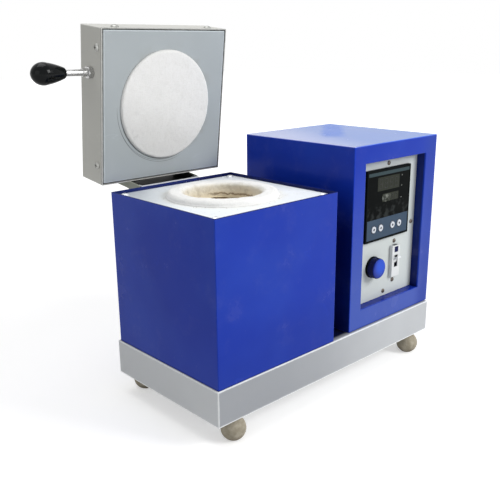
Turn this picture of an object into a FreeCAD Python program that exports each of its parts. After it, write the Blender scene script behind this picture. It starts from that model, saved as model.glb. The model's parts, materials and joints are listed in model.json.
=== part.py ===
# Gold melting furnace: a square furnace casing with a hinged lid and a control box on one base tray.
# Frame: millimetres, +Z up, +Y to the back, origin on the floor at the middle of the four feet.
# The lid is built closed and turned back on its hinge to the open position it is kept in.
import FreeCAD
import Part
import math
import os

V = FreeCAD.Vector
X_AXIS = V(1, 0, 0)
Y_AXIS = V(0, 1, 0)
Z_AXIS = V(0, 0, 1)

# Sheet metal
SHEET = 1.5
BEND = 1.2
SLIP = 0.5              # gap between a folded cover and the walls round it
SNUG = 0.2              # gap round a piece that is set into a hole

# Housings on the base
HOUSING_DEPTH = 193.0
CASING_WIDTH = 193.0
CASING_HEIGHT = 193.5
BOX_WIDTH = 179.0
BOX_HEIGHT = 242.8
HOUSING_GAP = 33.5
CASING_SIDE_MARGIN = 2.0
BOX_SIDE_MARGIN = -2.5  # the box stands out past the tray's end
CASING_FRONT_MARGIN = 1.5
BOX_FRONT_MARGIN = 4.0

# Base tray and feet
BASE_HEIGHT = 44.0
BASE_FLANGE = 24.0
FOOT_RADIUS = 15.0
FOOT_DROP = 15.5        # underside of the tray to the middle of the ball
FOOT_FLAT = 13.0        # middle of the ball to its flat underside
FOOT_NECK_RADIUS = 8.0
FOOT_INSET_X = 31.0
FOOT_INSET_Y = 11.0
FOOT_SCREW_END = 4.0    # above the middle of the ball
WIRING_HOLE_RADIUS = 11.0

# Screws: head diameter, head height, shank diameter
SMALL_SCREW = (7.0, 2.0, 3.6)
PANEL_SCREW = (6.0, 1.8, 3.0)
DOME_SCREW = (9.5, 2.4, 4.0)
HOUSING_SCREW = (9.0, 2.8, 5.0)
HOUSING_NUT_FLATS = 8.0
HOUSING_NUT_HEIGHT = 4.0
HOUSING_SCREW_INSET = 14.0
HOLE_SLACK = 0.2        # added to a shank's radius for its hole
SCREW_END = 2.0         # shank past the last sheet it holds

# Casing top
RIM_DROP = 4.0          # casing rim down to the top plate
TOP_PLATE = 2.0
CASING_FLANGE = 17.0
TOP_SCREW_INSET = 12.0

# Melting chamber
CHAMBER_BORE = 92.0     # of the muffle and of the collar above it
CHAMBER_OFFSET_Y = 2.0  # chamber axis behind the middle of the casing
MUFFLE_WALL = 11.0
COLLAR_DIAMETER = 140.0
COLLAR_RISE = 8.2       # top plate to the top of the collar
COLLAR_ROUND = 3.9
COLLAR_SPIGOT = 118.0
COLLAR_SPIGOT_DEPTH = 14.0
INSULATION_FLOOR = 25.0
INSULATION_GAP = 3.0    # insulation to the casing walls
INSULATION_CORNER = 26.0
INSULATION_TOP_GAP = 2.0
HEARTH = 12.0           # thickness of the brick under the muffle
WIRE_RADIUS = 1.5
ELEMENT_TURNS = 9
ELEMENT_START = 8.0     # foot of the muffle to the first turn
ELEMENT_END = 14.0      # last turn to the top of the muffle
ELEMENT_GAP_ANGLE = 6.0
BEAD = 1.06             # welded bead at a corner of the wire, as a share of the wire
TAIL_REACH = 6.0        # muffle's outside to the middle of the tails
TAIL_CHANNEL_WIDTH = 24.0
TAIL_HOLE_RADIUS = 4.0
PROBE_RADIUS = 3.0
PROBE_BEHIND = 16.0     # chamber axis to the probe
PROBE_TIP_COVER = 4.0   # hearth brick left over the probe's tip
PROBE_HEAD_RADIUS = 12.0
PROBE_HEAD_HEIGHT = 16.0
TERMINAL_SIZE = (34.0, 26.0, 14.0)
TERMINAL_CLAMP_RADIUS = 3.0

# Lid, closed over the chamber
LID_WIDTH = 188.0
LID_DEPTH = 186.5
LID_THICKNESS = 46.5
LID_BACK_GAP = 0.5      # lid's rear wall behind the casing's back
LID_LIFT = 9.0          # casing rim to the lid's inner plate
LID_PLATE_GAP = 1.0
LID_PLATE_PROUD = 0.3
LID_FLANGE = 14.0
LID_SCREW_PITCH = 140.0
LID_SCREW_DEPTH = 10.0
LID_OPEN = 83.1         # degrees between closed and open
DISC_DIAMETER = 137.0
DISC_GAP = 0.3          # disc to collar with the lid closed
DISC_ROUND = 2.2
DISC_SPIGOT = 110.0
DISC_SPIGOT_DEPTH = 20.0

# Handle on the lid's left wall
HANDLE_FROM_BACK = 133.7
HANDLE_HEIGHT = 22.0    # above the lid's inner plate
HANDLE_NUT_FLATS = 13.0
HANDLE_NUT_HEIGHT = 6.5
HANDLE_ROD_RADIUS = 3.75
HANDLE_ROD_END = 3.0    # rod past the nut inside the lid
HANDLE_COLLAR_RADIUS = 4.75
HANDLE_COLLAR_LENGTH = 6.0
KNOB_START = 34.9       # lid's wall to the knob
KNOB_LENGTH = 41.3
KNOB_NECK_RADIUS = 6.5
KNOB_RADIUS = 12.5
KNOB_WIDEST = 22.7      # knob's neck to its widest place
KNOB_TIP_RADIUS = 2.0
KNOB_ROUND = 1.2
KNOB_BORE_DEPTH = 20.0

# Hinge
HINGE_BEHIND = 9.2      # pin axis behind the casing's back
HINGE_BELOW = 6.5       # pin axis below the casing's rim
HINGE_SPAN = 95.5       # over the lid's two ears
HINGE_OFFSET_X = -5.2   # middle of the hinge from the middle of the casing
CHANNEL_DEPTH = 10.0
CHANNEL_LENGTH = 34.0   # along the lid's thickness
CHANNEL_WEB_START = -5.0
CHANNEL_FOOT = 14.0
EAR_RADIUS = 8.4
EAR_SIDE_GAP = 0.5      # lid's ear to the fixed ear
FIXED_EAR_RADIUS = 7.5
FIXED_EAR_SHEET = 2.0
STOP_ARM_REACH = 22.0   # pin axis to the end of the stop arm
STOP_GAP = 0.15         # open lid's channel to the stop arm
BRACKET_DROP = 44.0
BRACKET_RISE = 1.0      # bracket's top edge above the casing's rim
BRACKET_SCREW_INSET = 16.0
BRACKET_SCREW_FOOT = 9.0     # bracket's lower edge to the lower screws
BRACKET_SCREW_PITCH = 16.0
PIN_RADIUS = 3.0
PIN_SLACK = 0.05
PIN_HEAD_RADIUS = 4.5
PIN_HEAD = 2.0
PIN_END = 1.5           # pin past its clip
PIN_GROOVE_RADIUS = 2.25
SLEEVE_RADIUS = 6.2
CLIP_RADIUS = 5.0
CLIP_THICKNESS = 1.0

# Control box front
OPENING_LEFT = 23.0     # box's left side to the opening
OPENING_WIDTH = 131.0
OPENING_BOTTOM = 26.0
OPENING_HEIGHT = 193.3
RECESS = 13.5
PANEL_EDGE_GAP = 0.3
PANEL_FLANGE = 13.0
PANEL_SCREW_INSET = 7.3
REAR_FLANGE = 12.0
REAR_SCREW_INSET = 8.0
VENT_ROWS = 7
VENT_LENGTH = 52.0
VENT_HEIGHT = 4.0
VENT_PITCH = 10.0
VENT_TOP = 40.0         # top of the box to the first vent row
VENT_SPREAD = 64.5      # between the middles of the two columns of vents

# Temperature controller, a standard 96 by 96 panel instrument
CONTROLLER_BEZEL = 96.0
BEZEL_OVERLAP = 2.0     # bezel's edge over its cut-out in the panel
CONTROLLER_X = 86.1     # box's left side to the middle of the bezel
CONTROLLER_Z = 158.6
BEZEL_THICKNESS = 4.5
BEZEL_BORDER = 3.0
BEZEL_POCKET = 2.0
FACE_SETBACK = 0.3      # bezel's front to the window's and the keypad's front
CONTROLLER_DEPTH = 72.0
CASE_WALL = 1.6
KEYPAD_HEIGHT = 27.0
KEY_PAIRS_APART = 41.2  # between the middles of the two pairs of keys
KEY_PITCH = 15.2
KEY_SHIFT = -2.0        # keys right of the bezel's middle
KEY_HEIGHT = 13.8       # keypad's lower edge to the keys
KEY_RADIUS = 4.5
KEY_COLLAR_RADIUS = 5.8
KEY_COLLAR = 0.8
KEY_PROUD = 0.9
KEY_ROUND = 0.5
KEY_GAP = 0.2
KEY_TRAVEL = 0.6
BOARD_THICKNESS = 1.6
SWITCH_RADIUS = 3.0
SWITCH_HEIGHT = 1.4
SWITCH_GAP = 0.2        # pressed key to its switch
RAIL_THICKNESS = 2.0

# Pilot lamp
LAMP_X = 61.8
LAMP_DROP = 36.7        # controller's lower edge to the middle of the lamp
LAMP_BEZEL_RADIUS = 14.75
LAMP_BEZEL = 3.0
LAMP_THREAD_RADIUS = 11.0
LAMP_BODY_LENGTH = 38.0
LAMP_WALL = 1.5
LAMP_WELL = 12.0        # panel's front to the floor of the lamp's well
LAMP_STEM = 6.0         # lens's stem behind the panel's front
LENS_WALL = 2.0
LAMP_LENS_RADIUS = 13.9
LAMP_LENS_PROUD = 12.5
LAMP_LENS_TAPER = 0.4
LAMP_LENS_ROUND = 1.6
LAMP_NUT_RADIUS = 15.0
LAMP_NUT = 5.0
LAMP_NUT_NOTCHES = 8
LAMP_NOTCH_RADIUS = 1.6

# Main switch, a one-pole breaker of standard size
BREAKER_X = 109.0
BREAKER_DROP = 37.1     # controller's lower edge to the middle of the nose
BREAKER_WIDTH = 18.0
BREAKER_NOSE = 45.0
BREAKER_BODY = 78.0
BREAKER_PROUD = 5.0
BREAKER_SHOULDER = 17.0  # nose's face to the shoulders
BREAKER_DEPTH = 61.0
BREAKER_SCREW_PITCH = 56.7
NOSE_ROUND = 0.8
BRACKET_BORDER = 6.0
BRACKET_POST_RADIUS = 4.0
TOGGLE_SLOT_WIDTH = 8.0
TOGGLE_SLOT_HEIGHT = 17.0
TOGGLE_SLOT_DEPTH = 11.5
TOGGLE_PIVOT = 6.0      # nose's face to the toggle's axis
TOGGLE_RADIUS = 4.6
TOGGLE_REACH = 13.0
TOGGLE_THICKNESS = 3.2
TOGGLE_ROUND = 1.0
AXLE_RADIUS = 1.2
AXLE_END = 2.0          # toggle's axle into each side of its slot
TOGGLE_TILT = 30.0      # degrees above level when switched on

# Power switching and cable entry
RELAY_SIZE = (58.0, 45.0, 26.0)
RELAY_FROM_BACK = 73.4  # box's back to the relay's front edge
RELAY_FLANGE = 3.0
RELAY_FLANGE_LENGTH = 10.0
RELAY_SCREW_INSET = 5.0
RELAY_POST_RADIUS = 3.5
RELAY_POST_RISE = 2.5
RELAY_POST_INSET = 8.0
GLAND_FLATS = 24.0
GLAND_HEX = 6.0
GLAND_THREAD_RADIUS = 9.8
GLAND_CAP_RADIUS = 11.0
GLAND_CAP = 16.0
GLAND_BORE_RADIUS = 5.0
GLAND_THREAD = 12.0
GLAND_NUT = 5.0
GLAND_Z = 38.0
GLAND_FROM_RIGHT = 40.0

# Places worked out from the sizes above
BASE_LENGTH = CASING_SIDE_MARGIN + CASING_WIDTH + HOUSING_GAP + BOX_WIDTH + BOX_SIDE_MARGIN
BASE_DEPTH = BOX_FRONT_MARGIN + HOUSING_DEPTH
FOOT_HEIGHT = FOOT_DROP + FOOT_FLAT
BASE_LEFT = -BASE_LENGTH / 2
BASE_FRONT = -BASE_DEPTH / 2
BASE_BOTTOM = FOOT_HEIGHT
BASE_TOP = BASE_BOTTOM + BASE_HEIGHT

CASING_LEFT = BASE_LEFT + CASING_SIDE_MARGIN
CASING_RIGHT = CASING_LEFT + CASING_WIDTH
CASING_FRONT = BASE_FRONT + CASING_FRONT_MARGIN
CASING_BACK = CASING_FRONT + HOUSING_DEPTH
CASING_RIM = BASE_TOP + CASING_HEIGHT
CASING_MIDDLE_X = CASING_LEFT + CASING_WIDTH / 2
PLATE_TOP = CASING_RIM - RIM_DROP
PLATE_UNDER = PLATE_TOP - TOP_PLATE

CHAMBER_X = CASING_MIDDLE_X
CHAMBER_Y = CASING_FRONT + HOUSING_DEPTH / 2 + CHAMBER_OFFSET_Y
MUFFLE_RADIUS = CHAMBER_BORE / 2 + MUFFLE_WALL
HEARTH_BOTTOM = BASE_TOP + SHEET + INSULATION_FLOOR
MUFFLE_BOTTOM = HEARTH_BOTTOM + HEARTH
MUFFLE_TOP = PLATE_TOP - COLLAR_SPIGOT_DEPTH
INSULATION_TOP = PLATE_UNDER - SHEET - INSULATION_TOP_GAP
COLLAR_TOP = PLATE_TOP + COLLAR_RISE
PROBE_Y = CHAMBER_Y + PROBE_BEHIND
TAIL_RADIUS = MUFFLE_RADIUS + TAIL_REACH
TERMINAL_TOP = BASE_TOP - SHEET
TAIL_END = TERMINAL_TOP - TERMINAL_SIZE[2] / 2

BOX_LEFT = CASING_RIGHT + HOUSING_GAP
BOX_RIGHT = BOX_LEFT + BOX_WIDTH
BOX_FRONT = BASE_FRONT + BOX_FRONT_MARGIN
BOX_BACK = BOX_FRONT + HOUSING_DEPTH
BOX_TOP = BASE_TOP + BOX_HEIGHT
OPENING_X0 = BOX_LEFT + OPENING_LEFT
OPENING_X1 = OPENING_X0 + OPENING_WIDTH
OPENING_Z0 = BASE_TOP + OPENING_BOTTOM
OPENING_Z1 = OPENING_Z0 + OPENING_HEIGHT
PANEL_FRONT = BOX_FRONT + RECESS
PANEL_BACK = PANEL_FRONT + SHEET

BEZEL_X0 = BOX_LEFT + CONTROLLER_X - CONTROLLER_BEZEL / 2
BEZEL_X1 = BEZEL_X0 + CONTROLLER_BEZEL
BEZEL_Z0 = BASE_TOP + CONTROLLER_Z - CONTROLLER_BEZEL / 2
BEZEL_Z1 = BEZEL_Z0 + CONTROLLER_BEZEL
BEZEL_FRONT = PANEL_FRONT - BEZEL_THICKNESS
CONTROLLER_CUTOUT = CONTROLLER_BEZEL - 2 * BEZEL_OVERLAP
POCKET_FLOOR = BEZEL_FRONT + BEZEL_POCKET
FACE_FRONT = BEZEL_FRONT + FACE_SETBACK
KEYPAD_Z0 = BEZEL_Z0 + BEZEL_BORDER
KEYPAD_Z1 = KEYPAD_Z0 + KEYPAD_HEIGHT
NOSE_FRONT = PANEL_FRONT - BREAKER_PROUD
SHOULDER = NOSE_FRONT + BREAKER_SHOULDER
BREAKER_MIDDLE_X = BOX_LEFT + BREAKER_X
BREAKER_MIDDLE_Z = BEZEL_Z0 - BREAKER_DROP
TOGGLE_Y = NOSE_FRONT + TOGGLE_PIVOT

LID_MIDDLE_X = CASING_MIDDLE_X
LID_LEFT = LID_MIDDLE_X - LID_WIDTH / 2
LID_RIGHT = LID_LEFT + LID_WIDTH
LID_REAR = CASING_BACK + LID_BACK_GAP
LID_FRONT = LID_REAR - LID_DEPTH
LID_PLATE = CASING_RIM + LID_LIFT
LID_TOP = LID_PLATE + LID_THICKNESS
LID_MIDDLE_Y = (LID_FRONT + LID_REAR) / 2
HINGE_Y = CASING_BACK + HINGE_BEHIND
HINGE_Z = CASING_RIM - HINGE_BELOW
HINGE_LEFT = CASING_MIDDLE_X + HINGE_OFFSET_X - HINGE_SPAN / 2
HINGE_RIGHT = HINGE_LEFT + HINGE_SPAN
FIXED_LEFT = HINGE_LEFT + SHEET + EAR_SIDE_GAP
FIXED_RIGHT = HINGE_RIGHT - SHEET - EAR_SIDE_GAP


def block(x0, x1, y0, y1, z0, z1):
    return Part.makeBox(x1 - x0, y1 - y0, z1 - z0, V(x0, y0, z0))


def rod(radius, start, end):
    return Part.makeCylinder(radius, (end - start).Length, start, end - start)


def upright(radius, x, y, z0, z1):
    return rod(radius, V(x, y, z0), V(x, y, z1))


def placed(shape, point, direction):
    # Turns a piece built along +Z from the origin to point along direction from a point.
    moved = shape.copy()
    turn = FreeCAD.Rotation(Z_AXIS, direction)
    moved.Placement = FreeCAD.Placement(point, turn).multiply(moved.Placement)
    return moved


def edges_along(shape, direction, wanted):
    picked = []
    for edge in shape.Edges:
        if len(edge.Vertexes) != 2:
            continue
        run = edge.Vertexes[1].Point - edge.Vertexes[0].Point
        straight = abs(run.Length - edge.Length) < 1e-6
        if straight and abs(run.dot(direction)) > 0.999 * run.Length and wanted(edge.CenterOfMass):
            picked.append(edge)
    return picked


def revolved(points, centre, direction):
    # points are (radius, height) pairs or arcs given as three such pairs, closed along the axis.
    edges = []
    for step in points:
        path = [V(r, 0, h) for r, h in step]
        if len(path) == 2:
            edges.append(Part.LineSegment(*path).toShape())
        else:
            edges.append(Part.Arc(*path).toShape())
    face = Part.Face(Part.Wire(edges))
    return placed(face.revolve(V(0, 0, 0), Z_AXIS, 360), centre, direction)


def turned(profile, centre, direction):
    # A turned solid from a list of (radius, height) corners.
    corners = [V(r, 0, h) for r, h in profile]
    face = Part.Face(Part.makePolygon(corners + corners[:1]))
    return placed(face.revolve(V(0, 0, 0), Z_AXIS, 360), centre, direction)


def hex_prism(flats, height):
    radius = flats / math.sqrt(3)
    corners = [V(radius * math.cos(math.radians(60 * k)), radius * math.sin(math.radians(60 * k)), 0)
               for k in range(7)]
    return Part.Face(Part.makePolygon(corners)).extrude(V(0, 0, height))


def hex_nut(flats, height, bore_radius, point, direction):
    body = hex_prism(flats, height)
    corner = flats / math.sqrt(3)
    crown = corner - flats / 2
    cone = Part.makeCone(corner + crown, flats / 2, 2 * crown, V(0, 0, height - 2 * crown))
    sleeve = Part.makeCylinder(corner + crown, height - 2 * crown)
    body = body.common(sleeve.fuse(cone))
    body = body.cut(Part.makeCylinder(bore_radius, height + 2, V(0, 0, -1)))
    return placed(body, point, direction)


def screw(kind, length, point, direction):
    # A cross-head screw whose domed head sits on the face at point and looks along direction.
    head_diameter, head_height, shank_diameter = kind
    radius = head_diameter / 2
    brim = head_height * 0.25
    head = revolved([((0, 0), (radius, 0)), ((radius, 0), (radius, brim)),
                     ((radius, brim), (radius * 0.72, head_height * 0.8), (0, head_height)),
                     ((0, head_height), (0, 0))], V(0, 0, 0), Z_AXIS)
    slot = head_diameter * 0.13
    arm = radius * 0.56
    floor = head_height * 0.35
    cross = block(-arm, arm, -slot / 2, slot / 2, floor, head_height + 1)
    cross = cross.fuse(block(-slot / 2, slot / 2, -arm, arm, floor, head_height + 1))
    head = head.cut(cross)
    shank = Part.makeCylinder(shank_diameter / 2, length, V(0, 0, -length))
    return placed(head.fuse(shank), point, direction)


def shank_hole(kind, point, direction, depth=8.0):
    radius = kind[2] / 2 + HOLE_SLACK
    reach = direction * depth
    return rod(radius, point - reach, point + reach)


def cut_all(shape, tools):
    for tool in tools:
        shape = shape.cut(tool)
    return shape


def fuse_all(shapes):
    body = shapes[0]
    for shape in shapes[1:]:
        body = body.fuse(shape)
    return body.removeSplitter()


def opened(shape):
    # Swings a piece of the closed lid back to the open position.
    return shape.rotated(V(0, HINGE_Y, HINGE_Z), X_AXIS, -LID_OPEN)


def save(name, shape):
    shape.exportStep("parts/" + name + ".step")


def foot_places():
    left = BASE_LEFT + FOOT_INSET_X
    right = BASE_LEFT + BASE_LENGTH - FOOT_INSET_X
    front = BASE_FRONT + FOOT_INSET_Y
    back = BASE_FRONT + BASE_DEPTH - FOOT_INSET_Y
    return {"front_left": (left, front), "front_right": (right, front),
            "rear_left": (left, back), "rear_right": (right, back)}


def housing_screw_places():
    places = []
    spans = ((CASING_LEFT, CASING_RIGHT, CASING_FRONT, CASING_BACK),
             (BOX_LEFT, BOX_RIGHT, BOX_FRONT, BOX_BACK))
    for x0, x1, y0, y1 in spans:
        for x in (x0 + HOUSING_SCREW_INSET, x1 - HOUSING_SCREW_INSET):
            for y in (y0 + HOUSING_SCREW_INSET, y1 - HOUSING_SCREW_INSET):
                places.append(V(x, y, BASE_TOP))
    return places


def cover_screw_places():
    # Screws that hold the tray's bottom cover, a third of the way in from each end.
    third = BASE_LENGTH / 3
    edge = BASE_FLANGE / 2 + SHEET
    return [V(x, y, BASE_BOTTOM) for x in (BASE_LEFT + third, BASE_LEFT + 2 * third)
            for y in (BASE_FRONT + edge, BASE_FRONT + BASE_DEPTH - edge)]


def tail_places():
    # The two ends of the heating wire, on either side of the gap in its turns.
    gap = math.radians(ELEMENT_GAP_ANGLE)
    return [V(CHAMBER_X + TAIL_RADIUS * math.cos(gap), CHAMBER_Y + side * TAIL_RADIUS * math.sin(gap), 0)
            for side in (1, -1)]


def wiring_holes(z0, z1):
    # Holes for the probe and the heating wire's tails through a level sheet.
    holes = [upright(PROBE_RADIUS + HOLE_SLACK, CHAMBER_X, PROBE_Y, z0, z1)]
    return holes + [upright(TAIL_HOLE_RADIUS, p.x, p.y, z0, z1) for p in tail_places()]


def box_wiring_hole():
    # Between the tray and the control box, for the wires from the furnace.
    return upright(WIRING_HOLE_RADIUS, BOX_LEFT + BOX_WIDTH / 2, CHAMBER_Y, BASE_TOP - SHEET - 1,
                   BASE_TOP + SHEET + 1)


def base_tray():
    tray = block(BASE_LEFT, BASE_LEFT + BASE_LENGTH, BASE_FRONT, BASE_FRONT + BASE_DEPTH, BASE_BOTTOM,
                 BASE_TOP)
    tray = tray.makeFillet(BEND, edges_along(tray, Z_AXIS, lambda p: True)
                           + edges_along(tray, X_AXIS, lambda p: p.z > BASE_TOP - 1)
                           + edges_along(tray, Y_AXIS, lambda p: p.z > BASE_TOP - 1))
    inner = (BASE_LEFT + SHEET, BASE_LEFT + BASE_LENGTH - SHEET, BASE_FRONT + SHEET,
             BASE_FRONT + BASE_DEPTH - SHEET)
    seat = BASE_BOTTOM + SHEET
    tray = tray.cut(block(*inner, seat + SHEET, BASE_TOP - SHEET))
    tray = tray.cut(block(*inner, BASE_BOTTOM - 1, seat))
    tray = tray.cut(block(inner[0] + BASE_FLANGE, inner[1] - BASE_FLANGE, inner[2] + BASE_FLANGE,
                          inner[3] - BASE_FLANGE, seat - 1, seat + SHEET + 1))
    holes = [shank_hole(HOUSING_SCREW, p, Z_AXIS) for p in housing_screw_places()]
    holes += [shank_hole(HOUSING_SCREW, V(x, y, seat), Z_AXIS) for x, y in foot_places().values()]
    holes += [shank_hole(SMALL_SCREW, p, Z_AXIS) for p in cover_screw_places()]
    holes += wiring_holes(BASE_TOP - SHEET - 1, BASE_TOP + 1)
    holes.append(box_wiring_hole())
    return cut_all(tray, holes)


def base_bottom_cover():
    edge = SHEET + SLIP
    cover = block(BASE_LEFT + edge, BASE_LEFT + BASE_LENGTH - edge, BASE_FRONT + edge,
                  BASE_FRONT + BASE_DEPTH - edge, BASE_BOTTOM, BASE_BOTTOM + SHEET)
    holes = [shank_hole(HOUSING_SCREW, V(x, y, BASE_BOTTOM), Z_AXIS) for x, y in foot_places().values()]
    holes += [shank_hole(SMALL_SCREW, p, Z_AXIS) for p in cover_screw_places()]
    return cut_all(cover, holes)


def foot(x, y):
    centre = V(x, y, BASE_BOTTOM - FOOT_DROP)
    ball = Part.makeSphere(FOOT_RADIUS, centre)
    ball = ball.common(block(x - FOOT_RADIUS, x + FOOT_RADIUS, y - FOOT_RADIUS, y + FOOT_RADIUS,
                             0, BASE_BOTTOM))
    body = ball.fuse(upright(FOOT_NECK_RADIUS, x, y, centre.z, BASE_BOTTOM))
    return body.cut(upright(HOUSING_SCREW[2] / 2 + HOLE_SLACK, x, y, centre.z, BASE_BOTTOM + 1))


def foot_screws():
    length = 2 * SHEET + FOOT_DROP - FOOT_SCREW_END
    seat = BASE_BOTTOM + 2 * SHEET
    return Part.makeCompound([screw(HOUSING_SCREW, length, V(x, y, seat), Z_AXIS)
                              for x, y in foot_places().values()])


def base_cover_screws():
    length = 2 * SHEET + SCREW_END
    return Part.makeCompound([screw(SMALL_SCREW, length, p, -Z_AXIS) for p in cover_screw_places()])


def housing_screws():
    length = 2 * SHEET + HOUSING_NUT_HEIGHT + 1
    return Part.makeCompound([screw(HOUSING_SCREW, length, p - Z_AXIS * SHEET, -Z_AXIS)
                              for p in housing_screw_places()])


def housing_nuts():
    bore = HOUSING_SCREW[2] / 2 + PIN_SLACK
    return Part.makeCompound([hex_nut(HOUSING_NUT_FLATS, HOUSING_NUT_HEIGHT, bore, p + Z_AXIS * SHEET, Z_AXIS)
                              for p in housing_screw_places()])


def top_screw_places():
    return [V(x, y, PLATE_TOP) for x in (CASING_LEFT + TOP_SCREW_INSET, CASING_RIGHT - TOP_SCREW_INSET)
            for y in (CASING_FRONT + TOP_SCREW_INSET, CASING_BACK - TOP_SCREW_INSET)]


def bracket_screw_places():
    low = CASING_RIM - BRACKET_DROP + BRACKET_SCREW_FOOT
    left = FIXED_LEFT + BRACKET_SCREW_INSET
    right = FIXED_RIGHT - BRACKET_SCREW_INSET
    return [V(x, CASING_BACK, z) for x in (left, right) for z in (low, low + BRACKET_SCREW_PITCH)]


def casing_shell():
    shell = block(CASING_LEFT, CASING_RIGHT, CASING_FRONT, CASING_BACK, BASE_TOP, CASING_RIM)
    shell = shell.makeFillet(BEND, edges_along(shell, Z_AXIS, lambda p: True))
    inner = (CASING_LEFT + SHEET, CASING_RIGHT - SHEET, CASING_FRONT + SHEET, CASING_BACK - SHEET)
    shell = shell.cut(block(*inner, BASE_TOP + SHEET, PLATE_UNDER - SHEET))
    shell = shell.cut(block(*inner, PLATE_UNDER, CASING_RIM + 1))
    shell = shell.cut(block(inner[0] + CASING_FLANGE, inner[1] - CASING_FLANGE, inner[2] + CASING_FLANGE,
                            inner[3] - CASING_FLANGE, PLATE_UNDER - SHEET - 1, PLATE_UNDER + 1))
    holes = [shank_hole(DOME_SCREW, p, Z_AXIS) for p in top_screw_places()]
    holes += [shank_hole(HOUSING_SCREW, p, Z_AXIS) for p in housing_screw_places()[:4]]
    holes += [shank_hole(PANEL_SCREW, p, Y_AXIS, 4.0) for p in bracket_screw_places()]
    return cut_all(shell, holes + wiring_holes(BASE_TOP - 1, BASE_TOP + SHEET + 1))


def casing_top_plate():
    edge = SHEET + SLIP
    plate = block(CASING_LEFT + edge, CASING_RIGHT - edge, CASING_FRONT + edge, CASING_BACK - edge,
                  PLATE_UNDER, PLATE_TOP)
    bore = upright(COLLAR_SPIGOT / 2 + SNUG, CHAMBER_X, CHAMBER_Y, PLATE_UNDER - 1, PLATE_TOP + 1)
    return cut_all(plate, [bore] + [shank_hole(DOME_SCREW, p, Z_AXIS) for p in top_screw_places()])


def top_plate_screws():
    length = TOP_PLATE + SHEET + SCREW_END
    return Part.makeCompound([screw(DOME_SCREW, length, p, Z_AXIS) for p in top_screw_places()])


def ceramic_collar():
    outer = COLLAR_DIAMETER / 2
    bore = CHAMBER_BORE / 2
    spigot = COLLAR_SPIGOT / 2
    lean = COLLAR_ROUND * (1 - math.sqrt(0.5))
    top = COLLAR_RISE
    soft = [((bore, -COLLAR_SPIGOT_DEPTH), (spigot, -COLLAR_SPIGOT_DEPTH)),
            ((spigot, -COLLAR_SPIGOT_DEPTH), (spigot, 0)), ((spigot, 0), (outer, 0)),
            ((outer, 0), (outer, top - COLLAR_ROUND)),
            ((outer, top - COLLAR_ROUND), (outer - lean, top - lean), (outer - COLLAR_ROUND, top)),
            ((outer - COLLAR_ROUND, top), (bore + COLLAR_ROUND, top)),
            ((bore + COLLAR_ROUND, top), (bore + lean, top - lean), (bore, top - COLLAR_ROUND)),
            ((bore, top - COLLAR_ROUND), (bore, -COLLAR_SPIGOT_DEPTH))]
    return revolved(soft, V(CHAMBER_X, CHAMBER_Y, PLATE_TOP), Z_AXIS)


def turn_heights():
    first = MUFFLE_BOTTOM + ELEMENT_START
    last = MUFFLE_TOP - ELEMENT_END
    return [first + (last - first) * k / (ELEMENT_TURNS - 1) for k in range(ELEMENT_TURNS)]


def muffle():
    tube = upright(MUFFLE_RADIUS, CHAMBER_X, CHAMBER_Y, MUFFLE_BOTTOM, MUFFLE_TOP)
    tube = tube.cut(upright(CHAMBER_BORE / 2, CHAMBER_X, CHAMBER_Y, MUFFLE_BOTTOM - 1, MUFFLE_TOP + 1))
    depth = 2 * WIRE_RADIUS + SNUG
    half = WIRE_RADIUS + SNUG
    grooves = []
    for z in turn_heights():
        ring = upright(MUFFLE_RADIUS + 1, CHAMBER_X, CHAMBER_Y, z - half, z + half)
        grooves.append(ring.cut(upright(MUFFLE_RADIUS - depth, CHAMBER_X, CHAMBER_Y, z - half, z + half)))
    reach = MUFFLE_RADIUS * math.sin(math.radians(ELEMENT_GAP_ANGLE)) + half + SNUG
    floor = CHAMBER_X + (MUFFLE_RADIUS - depth) * math.cos(math.radians(ELEMENT_GAP_ANGLE)) - SNUG
    heights = turn_heights()
    grooves.append(block(floor, CHAMBER_X + MUFFLE_RADIUS + 1, CHAMBER_Y - reach, CHAMBER_Y + reach,
                         heights[0] - half, heights[-1] + half))
    return cut_all(tube, grooves)


def heating_element():
    # One wire: open turns in the muffle's grooves, a slanting link from each turn to the next, two tails.
    radius = MUFFLE_RADIUS - WIRE_RADIUS
    gap = math.radians(ELEMENT_GAP_ANGLE)
    heights = turn_heights()
    starts = []
    ends = []
    pieces = []
    for z in heights:
        turn = Part.makeTorus(radius, WIRE_RADIUS, V(0, 0, 0), Z_AXIS, 0, 360, 360 - 2 * ELEMENT_GAP_ANGLE)
        turn.rotate(V(0, 0, 0), Z_AXIS, ELEMENT_GAP_ANGLE)
        turn.translate(V(CHAMBER_X, CHAMBER_Y, z))
        pieces.append(turn)
        starts.append(V(CHAMBER_X + radius * math.cos(gap), CHAMBER_Y + radius * math.sin(gap), z))
        ends.append(V(CHAMBER_X + radius * math.cos(gap), CHAMBER_Y - radius * math.sin(gap), z))
    for upper, lower in zip(starts[1:], ends[:-1]):
        pieces.append(rod(WIRE_RADIUS, lower, upper))
        pieces.append(Part.makeSphere(WIRE_RADIUS * BEAD, lower))
        pieces.append(Part.makeSphere(WIRE_RADIUS * BEAD, upper))
    for wire_end, tail in zip((starts[0], ends[-1]), tail_places()):
        bend = V(tail.x, tail.y, wire_end.z)
        pieces.append(rod(WIRE_RADIUS, wire_end, bend))
        pieces.append(Part.makeSphere(WIRE_RADIUS * BEAD, wire_end))
        pieces.append(Part.makeSphere(WIRE_RADIUS * BEAD, bend))
        pieces.append(rod(WIRE_RADIUS, V(tail.x, tail.y, TAIL_END), bend))
    return fuse_all(pieces)


def insulation_slab(z0, z1):
    edge = SHEET + INSULATION_GAP
    slab = block(CASING_LEFT + edge, CASING_RIGHT - edge, CASING_FRONT + edge, CASING_BACK - edge, z0, z1)
    return slab.makeChamfer(INSULATION_CORNER, edges_along(slab, Z_AXIS, lambda p: True))


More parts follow.
